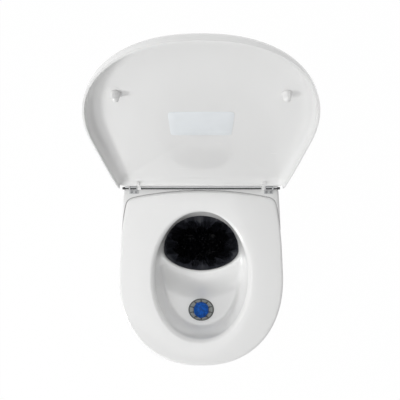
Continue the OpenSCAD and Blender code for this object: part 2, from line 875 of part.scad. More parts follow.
// ---- Urine container ----

can_y = drain_y - 3.5;
can_foot_z = tray_t + rest_gap;
can_top = seat_h - can_drop;
can_draw = 6;
neck_r = neck_d / 2 + can_wall;
neck_top = can_top + 22;
can_r = egg(can_w / 2, can_l / 2 + 1, can_l / 2 - 1, 2.2, 6);
shoulder = ring(inset(can_r, 13), can_y, can_top);
neck_foot = ring([for (t = spokes) neck_r + 3], drain_y, can_top + 2);
gauge_x = 60;
gauge_d = 16;

can_grid = [
    ring(inset(can_r, can_draw + 14), can_y, can_foot_z),
    ring(inset(can_r, can_draw + 4), can_y, can_foot_z + 4),
    ring(inset(can_r, can_draw), can_y, can_foot_z + 13),
    ring(can_r, can_y, can_top - 14),
    ring(inset(can_r, 3.5), can_y, can_top - 4.5),
    shoulder,
    neck_foot,
    ring([for (t = spokes) neck_r], drain_y, can_top + 5),
    ring([for (t = spokes) neck_r], drain_y, neck_top)];

module urine_container() {
    arch_r = 42;
    color(grey)
        difference() {
            union() {
                skin(can_grid, can_wall, close_first = true);
                translate([0, drain_y + 42, can_top - 1])
                    difference() {
                        rotate([90, 0, 0])
                            rotate_extrude()
                                translate([arch_r, 0])
                                    circle(5.5);
                        translate([-2 * arch_r, -2 * arch_r, -4 * arch_r])
                            cube(4 * arch_r);
                    }
            }
            translate([gauge_x, can_y, can_top - 10])
                cylinder(d = gauge_d, h = 20);
        }
}

stem_d = 6;
float_z = can_foot_z + can_wall + 8;

module float_guide() {
    color(grey)
        translate([gauge_x, can_y, 0]) {
            translate([0, 0, can_top + 2.4])
                cylinder(d = gauge_d + 8, h = 2);
            translate([0, 0, can_top - 8])
                cylinder(d = gauge_d - 0.6, h = 11);
            translate([0, 0, float_z - 3])
                cylinder(d = stem_d, h = can_top - float_z);
            translate([0, 0, float_z - 3])
                cylinder(d = 2 * stem_d, h = 2);
        }
}

module level_float() {
    color(blue)
        translate([gauge_x, can_y, float_z])
            difference() {
                cylinder(d = float_d, h = 18);
                translate([0, 0, -over])
                    cylinder(d = stem_d + 0.16, h = 18 + 2 * over);
            }
}

// ---- Ventilation ----

bore_r = fan_size / 2 - 3;
fan_hub_r = 16;
fan_back = cover_t;   // the cover's outer face, measured out from the back wall
fan_screw_at = fan_size / 2 - 4.25;
shaft_d = 3;
guard_t = 2;

// Places children at each corner screw of the fan
module at_fan_screws() {
    for (x = [-1, 1], y = [-1, 1])
        translate([x * fan_screw_at, y * fan_screw_at, 0])
            children();
}

// Fan frame: square shroud, three struts, a motor seat and the impeller's shaft
module fan_frame() {
    color(dark)
        on_back_wall(-fan_depth) {
            difference() {
                translate([-fan_size / 2, -fan_size / 2, 0])
                    cube([fan_size, fan_size, fan_depth]);
                translate([0, 0, -over])
                    cylinder(r = bore_r, h = fan_depth + 2 * over);
                at_fan_screws()
                    translate([0, 0, -over])
                        cylinder(d = 4.2, h = fan_depth + 2 * over);
            }
            for (i = [0:2])
                rotate([0, 0, 90 + i * 120])
                    translate([fan_hub_r - 2, -2, fan_depth - 2.5])
                        cube([bore_r - fan_hub_r + 3, 4, 2.5]);
            translate([0, 0, fan_depth - 2.5])
                cylinder(r = fan_hub_r - 1, h = 2.5);
            translate([0, 0, 4])
                cylinder(d = shaft_d, h = fan_depth - 5);
        }
}

module fan_impeller() {
    blade_r = bore_r - 1.5;
    hub_h = fan_depth - 5;
    color(dark)
        on_back_wall(-fan_depth) {
            difference() {
                translate([0, 0, 1.5])
                    cylinder(r = fan_hub_r, h = hub_h);
                translate([0, 0, 1.5 + 2])
                    cylinder(d = shaft_d + 0.1, h = hub_h);
            }
            intersection() {
                translate([0, 0, 1.5])
                    cylinder(r = blade_r, h = hub_h);
                for (i = [0:fan_blades - 1])
                    rotate([0, 0, i * 360 / fan_blades])
                        translate([fan_hub_r - 1, 0, 1.5 + hub_h / 2])
                            rotate([48, 0, 0])
                                translate([0, -9, -0.8])
                                    cube([blade_r, 18, 1.6]);
            }
        }
}

module fan_guard() {
    color(steel)
        on_back_wall(-fan_depth - guard_t - 0.1) {
            for (r = [12, 24, bore_r])
                difference() {
                    cylinder(r = r + 1, h = guard_t);
                    translate([0, 0, -over])
                        cylinder(r = r - 1, h = guard_t + 2 * over);
                }
            for (a = [45, 135])
                rotate([0, 0, a])
                    translate([-fan_screw_at * sqrt(2), -1.2, 0])
                        cube([2 * fan_screw_at * sqrt(2), 2.4, guard_t]);
        }
}

module rear_cover() {
    color(white)
        on_back_wall(rest_gap)
            difference() {
                translate([0, -cover_low, 0])
                    linear_extrude(cover_t)
                        rounded_rect(cover_w, cover_h, 12);
                translate([0, 0, -over])
                    cylinder(d = vent_d - 1.4, h = cover_t + 2 * over);
                at_fan_screws()
                    translate([0, 0, -over])
                        cylinder(d = 4.2, h = cover_t + 2 * over);
                for (x = [-1, 1], y = [-1, 1])
                    translate([x * cover_screw_x, y * cover_screw_y - cover_low, -over])
                        cylinder(d = cover_screw_d + 0.2, h = cover_t + 2 * over);
                translate([-inlet_x, inlet_z - vent_h, -over])
                    cylinder(d = inlet_d + 0.2, h = cover_t + 2 * over);
            }
}

module fan_screws() {
    out = rest_gap + cover_t + 0.1;
    color(steel)
        on_back_wall(out)
            at_fan_screws() {
                cylinder(d = 6.4, h = 2);
                translate([0, 0, -out - fan_depth + 4])
                    cylinder(d = 3.8, h = out + fan_depth - 3);
            }
}

module cover_screws() {
    out = rest_gap + cover_t + 0.1;
    color(steel)
        at_cover_screws(out) {
            cylinder(d = 6.6, h = 2);
            translate([0, 0, -out - body_wall - 4])
                cylinder(d = cover_screw_d, h = out + body_wall + 5);
        }
}

module vent_spigot() {
    bore = vent_d - 5;
    color(white)
        on_back_wall(rest_gap + cover_t + 0.1)
            difference() {
                union() {
                    cylinder(d = vent_d, h = vent_l);
                    cylinder(d = vent_d + 17, h = 2.5);
                }
                translate([0, 0, -over])
                    cylinder(d = bore, h = vent_l + 2 * over);
            }
}

inlet_x = cover_w / 2 - 28;
inlet_z = vent_h - cover_low - cover_h / 2 + 22;
inlet_d = 11;

module power_inlet() {
    bore_depth = 9;
    color(dark)
        on_back_wall(rest_gap + cover_t)
            translate([-inlet_x, inlet_z - vent_h, 0]) {
                difference() {
                    union() {
                        translate([0, 0, 0.1])
                            cylinder(d = inlet_d + 4, h = 1.5);
                        translate([0, 0, -12])
                            cylinder(d = inlet_d, h = 13);
                    }
                    translate([0, 0, 1.6 - bore_depth])
                        cylinder(d = inlet_d / 2 + 0.1, h = bore_depth + over);
                }
                translate([0, 0, -bore_depth])
                    cylinder(d = 2.1, h = bore_depth);
            }
}

outer_housing();
base_tray();
base_pads();
seat_insert();
insert_seal();
drain_funnel();
funnel_seal();
strainer();
cleaning_block();
lid_shell();
lid_bumpers();
lid_clips();
hinge_rod();
rod_end_caps();
hinge_brackets();
hinge_screws();
solids_container();
waste_bag();
bag_ring();
urine_container();
float_guide();
level_float();
fan_frame();
fan_impeller();
fan_guard();
fan_screws();
rear_cover();
cover_screws();
vent_spigot();
power_inlet();
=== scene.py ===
"""Dry toilet with its lid open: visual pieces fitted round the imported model, in metres, +Z up, -Y front."""

import bpy
import numpy as np
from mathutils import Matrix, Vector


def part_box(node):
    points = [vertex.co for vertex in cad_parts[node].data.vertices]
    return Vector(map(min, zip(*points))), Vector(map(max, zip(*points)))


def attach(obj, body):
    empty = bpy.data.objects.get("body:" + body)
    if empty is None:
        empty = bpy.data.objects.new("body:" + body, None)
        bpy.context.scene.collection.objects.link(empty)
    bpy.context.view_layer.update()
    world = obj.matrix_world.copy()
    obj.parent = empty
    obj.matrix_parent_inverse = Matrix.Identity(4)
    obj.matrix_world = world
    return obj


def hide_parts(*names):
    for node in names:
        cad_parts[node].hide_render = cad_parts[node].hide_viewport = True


bl_info = {
    "name": "Dry toilet",
    "version": (1, 0, 0),
    "blender": (4, 5, 0),
    "location": "View3D > Sidebar > Toilet",
    "description": "Builds a urine-diverting dry toilet with its lid open, its finishes and its stage",
    "category": "Object",
}

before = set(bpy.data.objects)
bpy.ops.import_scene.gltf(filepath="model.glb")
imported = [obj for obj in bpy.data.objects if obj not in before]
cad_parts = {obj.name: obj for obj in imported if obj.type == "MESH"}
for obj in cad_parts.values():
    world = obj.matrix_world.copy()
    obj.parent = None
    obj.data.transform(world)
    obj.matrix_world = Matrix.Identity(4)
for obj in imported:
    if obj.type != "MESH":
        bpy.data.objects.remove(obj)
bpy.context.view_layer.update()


# ---- Sizes and colours that a user would change ----


def length(name, default, description):
    """A length property in metres."""
    return bpy.props.FloatProperty(
        name=name, description=description, default=default, min=0.0, unit="LENGTH", precision=4
    )


def angle(name, degrees, description):
    """An angle property, given in degrees."""
    return bpy.props.FloatProperty(
        name=name, description=description, default=np.radians(degrees), subtype="ANGLE"
    )


def colour(name, default, description):
    """A colour property, in linear light."""
    return bpy.props.FloatVectorProperty(
        name=name, description=description, default=default, size=3, min=0.0, max=1.0, subtype="COLOR"
    )


class ToiletSizes(bpy.types.PropertyGroup):
    """Sizes of the toilet's moulded forms."""

    body_w: length("Casing width", 0.375, "Width of the casing at seat height")
    body_l: length("Casing length", 0.497, "Length of the casing from front wall to back wall")
    bow_l: length("Front length", 0.200, "Length of the rounded front of the casing")
    seat_h: length("Seat height", 0.420, "Height of the seat above the floor")
    body_taper: length("Foot taper", 0.020, "How far the foot of the casing draws in")
    body_wall: length("Casing wall", 0.0032, "Wall of the casing")
    rod_setback: length("Rod setback", 0.1035, "Distance from the back wall to the hinge rod")
    joint_drop: length("Joint drop", 0.011, "Depth of the joint between casing and insert")
    deck_drop: length("Deck drop", 0.001, "Depth of the rear deck below the seat")
    deck_reach: length("Deck reach", 0.098, "How far the rear deck runs in front of the hinge rod")
    flange_w: length("Flange width", 0.011, "Width of the flange that carries the insert")
    flange_t: length("Flange thickness", 0.004, "Thickness of the flange that carries the insert")
    tray_t: length("Tray thickness", 0.005, "Thickness of the floor tray")
    insert_wall: length("Insert wall", 0.0032, "Wall of the insert")
    insert_gap: length("Insert gap", 0.0005, "Gap between insert and casing")
    insert_setback: length("Insert setback", 0.0036, "Distance from the rod to the insert's back edge")
    back_bulge: length("Back bulge", 0.770, "Bulge radius of the insert's back edge")
    side_draw: length("Side draw", 0.010, "How far the insert's sides draw in at the back")
    oval_setback: length("Oval setback", 0.050, "Distance from the rod to the oval rim")
    oval_w: length("Oval width", 0.238, "Width of the oval rim")
    oval_l: length("Oval length", 0.302, "Length of the oval rim")
    oval_wide: length("Oval widest", 0.1505, "Distance from the oval's back to its widest point")
    hole_setback: length("Hole setback", 0.0586, "Distance from the rod to the chute hole")
    hole_w: length("Hole width", 0.187, "Width of the chute hole")
    hole_l: length("Hole length", 0.135, "Length of the chute hole")
    hole_wide: length("Hole widest", 0.085, "Distance from the hole's back to its widest point")
    chute_drop: length("Chute drop", 0.058, "Depth of the chute's lower edge below the seat")
    ridge_drop: length("Ridge drop", 0.046, "Depth of the divider ridge below the seat")
    basin_drop: length("Basin drop", 0.088, "Depth of the front basin below the seat")
    drain_setback: length("Drain setback", 0.2915, "Distance from the rod to the middle of the drain")
    drain_d: length("Drain diameter", 0.046, "Diameter of the drain hole")
    lid_overhang: length("Lid overhang", 0.007, "How far the lid stands out past the sides of the casing")
    lid_nose: length("Lid nose", 0.0055, "How far the lid stands out past the front of the casing")
    lip_drop: length("Lip drop", 0.008, "Depth of the lid's lip below the seat when shut")
    lid_rise: length("Lid rise", 0.018, "Height of the lid's edge above the seat when shut")
    lid_crown: length("Lid crown", 0.005, "Crown of the lid above its edge")
    lid_round: length("Lid rounding", 0.020, "Rounding of the lid's outer edge")
    lid_wall: length("Lid wall", 0.0028, "Wall of the lid")
    lid_setback: length("Lid setback", 0.015, "Distance from the rod to the lid's back edge")
    lid_open: angle("Lid opening", 105.0, "Opening angle of the lid")
    bumper_span: length("Bumper span", 0.260, "Distance between the two bumpers")
    bumper_setback: length("Bumper setback", 0.291, "Distance from the hinge rod to the bumpers")
    bumper_d: length("Bumper diameter", 0.012, "Diameter of a bumper at its round tip")
    bumper_flare: length("Bumper flare", 0.003, "How much wider a bumper is at its foot")
    rod_rise: length("Rod rise", 0.0035, "Height of the rod's middle above the seat")
    clip_inset: length("Clip inset", 0.041, "Distance from the casing's side to the middle of a lid clip")
    clip_w: length("Clip width", 0.007, "Width of a lid clip along the rod")
    bin_w: length("Bin width", 0.250, "Width of the solids container inside its rim")
    bin_l: length("Bin length", 0.168, "Length of the solids container inside its rim")
    bin_drop: length("Bin drop", 0.077, "Depth of the solids container's rim below the seat")
    bin_wall: length("Bin wall", 0.0024, "Wall of the solids container")
    bag_wall: length("Bag gather", 0.0008, "Thickness of the bag where it is gathered")
    bag_w: length("Bag bottom", 0.130, "Width of the bag's bottom")
    can_w: length("Can width", 0.222, "Width of the urine container")
    can_l: length("Can length", 0.134, "Length of the urine container")
    can_drop: length("Can drop", 0.168, "Depth of the urine container's shoulder below the seat")
    can_wall: length("Can wall", 0.0022, "Wall of the urine container")
    neck_d: length("Neck bore", 0.044, "Inner diameter of the urine container's neck")
    vent_h: length("Vent height", 0.300, "Height of the fan above the floor")
    cover_w: length("Cover width", 0.196, "Width of the rear cover")
    cover_h: length("Cover height", 0.156, "Height of the rear cover")
    plate_w: length("Plate width", 0.112, "Width of the bare plate inside the lid")
    plate_l: length("Plate length", 0.063, "Length of the bare plate inside the lid")


class ToiletColours(bpy.types.PropertyGroup):
    """Base colours of the toilet's finishes."""

    seat: colour("Seat", (0.876, 0.877, 0.872), "Glossy white moulding")
    casing: colour("Casing", (0.856, 0.857, 0.852), "Satin white moulding")
    fitting: colour("Fittings", (0.80, 0.81, 0.82), "Pale hinge fittings")
    grey: colour("Grey plastic", (0.16, 0.18, 0.19), "Grey mouldings inside")
    can: colour("Can", (0.70, 0.72, 0.71), "Milky container plastic")
    strainer: colour("Strainer", (0.24, 0.255, 0.25), "Greenish grey strainer")
    block: colour("Block", (0.006, 0.09, 0.42), "Cleaning block")
    rubber: colour("Rubber", (0.012, 0.012, 0.013), "Seals, caps and pads")
    bag: colour("Bag", (0.02, 0.0215, 0.027), "Black film")
    steel: colour("Steel", (0.50, 0.51, 0.52), "Rod and screws")
    plate: colour("Plate", (0.86, 0.895, 0.92), "Bare plate inside the lid")
    floor: colour("Floor", (0.94, 0.94, 0.94), "Floor and backdrop")


# ---- Outlines: arrays of radii, one for each spoke round a centre on the mid plane ----

SPOKES = 360
CORNER_POWER = 36

# Superellipse powers of the outlines, at the front and at the back
CASING_POWERS = (2.25, 7)
SEAT_POWERS = (2.25, 2.25)
HOLE_POWERS = (1.88, 2.07)
OVAL_POWERS = (2.06, 2.1)
BIN_POWERS = (2.6, 5)
BAG_FOOT_POWERS = (2.4, 2.4)
CAN_POWERS = (2.2, 6)
PLATE_POWERS = (16, 16)

DRAW_START = 0.050  # distance behind the widest point at which the sides begin to draw in
REAR_CORNER = 0.022  # length of the corner between the sides and the back edge
LID_ARC = 4  # the arc of the lid's sides is this many times as wide as the seat's
STRAIGHT = 1e3  # bulge radius of an edge that is straight to the eye
CROWN_START = 0.92  # share of the lid's rounding at which its crown begins
FURTHEST, HALVINGS = 0.4, 30  # first interval and number of steps of a search along a spoke
LEAST_COSINE = 0.6  # between a spoke and the outline's normal, where an outline is moved inwards
TINY = 0.001  # kept away from a division by zero


def soft_min(a, b, n):
    """The nearer of two limits, joined softly: (a^-n + b^-n)^(-1/n)."""
    return (a**-n + b**-n) ** (-1.0 / n)


def smooth(x):
    """Smooth step from 0 to 1: x^2 (3 - 2x), with x kept between 0 and 1."""
    x = np.clip(x, 0, 1)
    return x * x * (3 - 2 * x)


def to_arc(p, q, limit, bulge, start):
    """Distance along the ray (p, q) to v = limit - (u - start)^2 / (2 bulge), which is level before start."""
    c = 1 / (2 * bulge)
    k = q - 2 * c * p * start
    root = np.sqrt(np.maximum(k * k + 4 * c * p * p * (limit - c * start * start), 0))
    straight = (p * limit < q * start) | (p < TINY)
    curved = (root - k) / (2 * c * np.maximum(p * p, TINY**3))
    return np.where(straight, limit / np.maximum(q, TINY), curved)


def to_egg(t, half, front, back, front_power, back_power):
    """Radius of an egg: superellipse of half width and front or back length, one power for each end."""
    c, s = np.maximum(np.abs(np.cos(t)), TINY), np.maximum(np.abs(np.sin(t)), TINY)
    ahead = soft_min(half / c, front / s, front_power)
    behind = soft_min(half / c, back / s, back_power)
    return np.where(np.sin(t) < 0, ahead, behind)


def reach(t, off, half, front, back, front_power, back_power):
    """Distance along each spoke from (0, off) to an egg centred at 0, found by halving an interval."""
    low, high = np.zeros_like(t), np.full_like(t, FURTHEST)
    for _ in range(HALVINGS):
        r = (low + high) / 2
        x, y = r * np.cos(t), off + r * np.sin(t)
        inside = np.hypot(x, y) < to_egg(np.arctan2(y, x), half, front, back, front_power, back_power)
        low, high = np.where(inside, r, low), np.where(inside, high, r)
    return low


def inset(t, radii, d):
    """Radii moved inwards by d, square to the outline: d over the cosine between spoke and outline normal."""
    x, y = radii * np.cos(t), radii * np.sin(t)
    dx, dy = np.roll(x, -1) - np.roll(x, 1), np.roll(y, -1) - np.roll(y, 1)
    square = (dy * np.cos(t) - dx * np.sin(t)) / np.hypot(dx, dy)
    return radii - d / np.maximum(square, LEAST_COSINE)


def ring(t, radii, y, z):
    """Points of an outline round (0, y) at height z."""
    return np.stack([radii * np.cos(t), y + radii * np.sin(t), np.broadcast_to(z, t.shape)], axis=1)


def shrink(points, y, share, z):
    """A ring drawn towards (0, y) by a share and set at height z."""
    return np.stack([points[:, 0] * share, y + (points[:, 1] - y) * share, np.full(len(points), z)], axis=1)


def between(a, b, share):
    """Points a share of the way from a to b."""
    return a + (b - a) * share


class Form:
    """Planes, centre lines and outlines worked out from the sizes."""

    def __init__(self, s):
        self.s = s
        self.t = np.linspace(0, 2 * np.pi, SPOKES, endpoint=False)
        self.back_y = s.body_l / 2
        self.wide_y = s.bow_l - self.back_y
        self.rod_y = self.back_y - s.rod_setback
        self.rod_z = s.seat_h + s.rod_rise
        self.deck_z = s.seat_h - s.deck_drop
        self.joint_z = s.seat_h - s.joint_drop
        self.basin_z = s.seat_h - s.basin_drop
        self.drain_y = self.rod_y - s.drain_setback
        self.hole_y = self.rod_y - s.hole_setback - s.hole_wide
        self.bin_y = self.hole_y + s.hole_wide - s.hole_l / 2
        oval_y = self.rod_y - s.oval_setback - s.oval_wide
        seat_back = self.rod_y - s.insert_setback - self.wide_y
        lid_back = self.rod_y - s.lid_setback - self.wide_y
        arc = (seat_back - REAR_CORNER - DRAW_START) ** 2 / s.side_draw / 2
        self.seat_r = self.d_outline(0.0, 0.0, arc, seat_back, s.back_bulge)
        self.lid_r = self.d_outline(s.lid_overhang, s.lid_nose, LID_ARC * arc, lid_back, STRAIGHT)
        self.crown_r = self.inset(self.lid_r, s.lid_round * CROWN_START)
        self.hole_r = to_egg(self.t, s.hole_w / 2, s.hole_l - s.hole_wide, s.hole_wide, *HOLE_POWERS)
        self.oval_r = reach(
            self.t, self.hole_y - oval_y, s.oval_w / 2, s.oval_l - s.oval_wide, s.oval_wide, *OVAL_POWERS)
        self.bin_r = to_egg(self.t, s.bin_w / 2, s.bin_l / 2, s.bin_l / 2, *BIN_POWERS)

    def d_outline(self, out, nose, arc, back, bulge):
        """D-shaped plan: superellipse front, sides drawn in on an arc, and a bulged back edge."""
        half = self.s.body_w / 2 + out
        front = to_egg(self.t, half, self.s.bow_l + nose, self.s.bow_l, *SEAT_POWERS)
        c, s = np.abs(np.cos(self.t)), np.abs(np.sin(self.t))
        sides = to_arc(s, c, half, arc, DRAW_START)
        rear = to_arc(c, s, back, bulge, 0.0)
        return np.where(np.sin(self.t) < 0, front, soft_min(sides, rear, CORNER_POWER))

    def casing(self, draw):
        """Plan of the casing, drawn in at the front and sides."""
        s = self.s
        return to_egg(self.t, s.body_w / 2 - draw, s.bow_l - draw, s.body_l - s.bow_l, *CASING_POWERS)

    def ring(self, radii, y, z):
        """Points of an outline round (0, y) at height z."""
        return ring(self.t, radii, y, z)

    def inset(self, radii, d):
        """Radii moved inwards by d, square to the outline."""
        return inset(self.t, radii, d)

    def rings(self, radii, y, profile):
        """A ring of the outline for each (inset, height) of a profile."""
        return [self.ring(self.inset(radii, d), y, z) for d, z in profile]

    def opened(self, points):
        """Turns points of the shut lid back about the rod by the opening angle."""
        a = -self.s.lid_open
        y, z = points[..., 1] - self.rod_y, points[..., 2] - self.rod_z
        out = points.copy()
        out[..., 1] = self.rod_y + y * np.cos(a) - z * np.sin(a)
        out[..., 2] = self.rod_z + y * np.sin(a) + z * np.cos(a)
        return out


# ---- Meshes from grids ----

SHARP = 40.0  # angle in degrees past which an edge is sharp


def facing(grid):
    """Unit outward normals of a grid of rings: the ring's direction crossed with the way to the next ring."""
    along = np.roll(grid, -1, axis=1) - np.roll(grid, 1, axis=1)
    out = np.cross(along, np.gradient(grid, axis=0))
    return out / np.maximum(np.linalg.norm(out, axis=2, keepdims=True), 1e-12)


def quads(rings, spokes, first, outward=True):
    """Faces between neighbouring rings of a closed grid, from vertex number first on."""
    k, i = np.meshgrid(np.arange(rings - 1), np.arange(spokes), indexing="ij")
    j = (i + 1) % spokes
    corners = [k * spokes + i, k * spokes + j, (k + 1) * spokes + j, (k + 1) * spokes + i]
    faces = np.stack(corners, axis=-1).reshape(-1, 4) + first
    return faces if outward else faces[:, ::-1]


def fan(ring_start, spokes, middle, upward=True):
    """Triangles from a ring to a middle vertex."""
    i = np.arange(spokes)
    faces = np.stack([ring_start + i, ring_start + (i + 1) % spokes, np.full(spokes, middle)], axis=-1)
    return faces if upward else faces[:, ::-1]


def shade_smooth(mesh, sharp):
    """Smooth shading, except where faces meet at more than the sharp angle, in degrees."""
    mesh.polygons.foreach_set("use_smooth", np.ones(len(mesh.polygons), bool))
    mesh.set_sharp_from_angle(angle=np.radians(sharp))


def mesh_piece(name, points, faces, sharp=SHARP):
    """Object at the origin from points and faces."""
    mesh = bpy.data.meshes.new(name)
    mesh.from_pydata(points.reshape(-1, 3).tolist(), [], faces)
    shade_smooth(mesh, sharp)
    mesh.update()
    piece = bpy.data.objects.new(name, mesh)
    bpy.context.scene.collection.objects.link(piece)
    return piece


def capped(name, grid, tips=None, outward=True, sharp=SHARP):
    """Closed piece: a grid of rings, with a fan from each end to its tip, by default the end's middle."""
    rings, spokes = grid.shape[:2]
    count = rings * spokes
    if tips is None:
        tips = grid[0].mean(axis=0), grid[-1].mean(axis=0)
    faces = quads(rings, spokes, 0, outward).tolist()
    faces += fan(0, spokes, count, not outward).tolist()
    faces += fan(count - spokes, spokes, count + 1, outward).tolist()
    return mesh_piece(name, np.concatenate([grid.reshape(-1, 3), tips]), faces, sharp)


def shell(name, grid, wall, close_first=False, close_last=False, sharp=SHARP):
    """Closed wall behind a grid of rings: the grid, its offset by -wall times the normal, and joined ends."""
    rings, spokes = grid.shape[:2]
    count = rings * spokes
    behind = grid - wall * facing(grid)
    points = [grid.reshape(-1, 3), behind.reshape(-1, 3)]
    faces = [quads(rings, spokes, 0), quads(rings, spokes, count, outward=False)]
    i = np.arange(spokes)
    j = (i + 1) % spokes
    middle = 2 * count
    for closed, row, start, flip in ((close_first, 0, 0, True), (close_last, -1, count - spokes, False)):
        if closed:
            points.append(np.array([grid[row].mean(axis=0), behind[row].mean(axis=0)]))
            faces.append(fan(start, spokes, middle, upward=not flip))
            faces.append(fan(count + start, spokes, middle + 1, upward=flip))
            middle += 2
        else:
            edge = np.stack([start + i, count + start + i, count + start + j, start + j], axis=-1)
            faces.append(edge if flip else edge[:, ::-1])
    every = [row for block in faces for row in block.tolist()]
    return mesh_piece(name, np.concatenate(points), every, sharp)


def lathe(name, profile, x, y, spokes=96):
    """Profile points (radius, height) turned about the vertical line through (x, y), closed at both ends."""
    t = np.linspace(0, 2 * np.pi, spokes, endpoint=False)
    r, z = np.array(profile, float).T[..., None]
    grid = np.stack([x + r * np.cos(t), y + r * np.sin(t), np.repeat(z, spokes, axis=1)], axis=2)
    return capped(name, grid, [[x, y, z[0, 0]], [x, y, z[-1, 0]]])


def cut(piece, cutter):
    """Takes the cutter's solid out of the piece's mesh, and removes the cutter."""
    knife = piece.modifiers.new("cut", "BOOLEAN")
    knife.operation = "DIFFERENCE"
    knife.solver = "EXACT"
    knife.object = cutter
    bpy.context.view_layer.update()
    result = bpy.data.meshes.new_from_object(piece.evaluated_get(bpy.context.evaluated_depsgraph_get()))
    piece.modifiers.clear()
    whole = piece.data
    piece.data = result
    bpy.data.meshes.remove(whole)
    bpy.data.objects.remove(cutter)
    shade_smooth(result, SHARP)


def slab(low, high):
    """A plain block between two corners, used only to cut."""
    c = np.array([low, high], float)
    points = np.array([[c[i, 0], c[j, 1], c[k, 2]] for i in (0, 1) for j in (0, 1) for k in (0, 1)])
    faces = [(0, 1, 3, 2), (4, 6, 7, 5), (0, 4, 5, 1), (2, 3, 7, 6), (0, 2, 6, 4), (1, 5, 7, 3)]
    return mesh_piece("cutter", points, faces)


def bar(x, y, low, high, radius):
    """An upright round bar, used only to cut."""
    return lathe("cutter", [(radius, low), (radius, high)], x, y)


def prism(radii, t, y, low, high):
    """An upright block with an outline's plan, used only to cut."""
    grid = np.array([ring(t, radii, y, low), ring(t, radii, y, high)])
    return capped("cutter", grid, [[0, y, low], [0, y, high]])


def band(name, outer, inner, t, y, low, high, edge=0.0006):
    """Upright ring between two outlines: its section, with small chamfers, carried round."""
    section = [(outer, low + edge, 0), (outer, high - edge, 0), (outer, high, edge), (inner, high, -edge),
               (inner, high - edge, 0), (inner, low + edge, 0), (inner, low, -edge), (outer, low, edge)]
    points = np.array([ring(t, inset(t, radii, d), y, z) for radii, z, d in section])
    rows, spokes = points.shape[:2]
    return mesh_piece(name, points, (quads(rows + 1, spokes, 0) % (rows * spokes)).tolist())


def join(pieces):
    """One object out of several, which keeps the first one's name."""
    for piece in bpy.context.selected_objects:
        piece.select_set(False)
    for piece in pieces:
        piece.select_set(True)
    bpy.context.view_layer.objects.active = pieces[0]
    bpy.ops.object.join()
    return pieces[0]


# ---- Finishes: shader maths written as expressions ----


def math_operator(operation, reflected=False):
    """A Python operator that adds a Math node: the value is its left side, or its right side if reflected."""

    def apply(value, other):
        return value.math(operation, *((other, value) if reflected else (value, other)))

    return apply


class Value:
    """A number in a node tree; arithmetic on it adds Math nodes."""

    def __init__(self, tree, source):
        self.tree = tree
        self.source = source

    def math(self, operation, *values):
        """A Math node on the values that are given."""
        made = self.tree.nodes.new("ShaderNodeMath")
        made.operation = operation
        for slot, value in zip(made.inputs, values):
            put(self.tree, slot, value)
        return Value(self.tree, made.outputs[0])

    __add__, __radd__ = math_operator("ADD"), math_operator("ADD", reflected=True)
    __sub__, __rsub__ = math_operator("SUBTRACT"), math_operator("SUBTRACT", reflected=True)
    __mul__, __rmul__ = math_operator("MULTIPLY"), math_operator("MULTIPLY", reflected=True)
    __truediv__, __rtruediv__ = math_operator("DIVIDE"), math_operator("DIVIDE", reflected=True)
    __pow__, __rpow__ = math_operator("POWER"), math_operator("POWER", reflected=True)

    def limited(self):
        """Kept between 0 and 1."""
        return self.math("MINIMUM", self.math("MAXIMUM", self, 0.0), 1.0)

    def step(self, low, high):
        """Smooth change from 0 at low to 1 at high: x^2 (3 - 2x)."""
        x = ((self - low) / (high - low)).limited()
        return x * x * (3.0 - 2.0 * x)

    def size(self):
        """Without its sign."""
        return self.math("ABSOLUTE", self)


def put(tree, slot, value):
    """Sets a socket to a number or colour, or links it to a value."""
    if isinstance(value, Value):
        tree.links.new(value.source, slot)
    elif isinstance(value, bpy.types.NodeSocket):
        tree.links.new(value, slot)
    elif slot.type == "RGBA":
        slot.default_value = (*value[:3], 1.0)
    else:
        slot.default_value = value


SEEN_BY = ("Is Camera Ray", "Is Glossy Ray", "Is Transmission Ray")


class Nodes:
    """A node tree being made: node() adds any node."""

    def __init__(self, tree):
        self.tree = tree
        tree.nodes.clear()

    def node(self, kind, settings=(), output=0, **sockets):
        """Adds a node: its settings first, then its sockets' values or links. Gives back one output.

        A socket goes by its name, with _ for a space, or by _ and its number.
        """
        made = self.tree.nodes.new(kind)
        for key, value in dict(settings).items():
            setattr(made, key, value)
        for key, value in sockets.items():
            put(self.tree, made.inputs[int(key[1:]) if key[1:].isdigit() else key.replace("_", " ")], value)
        return made.outputs[output] if made.outputs else None

    def value(self, kind, output=0, **sockets):
        """Adds a node, and gives back one output as a value."""
        return Value(self.tree, self.node(kind, output=output, **sockets))

    def seen(self):
        """1 for rays from the camera, in reflections and through clear things, and 0 for all others."""
        return sum((self.value("ShaderNodeLightPath", name) for name in SEEN_BY), 0.0).limited()


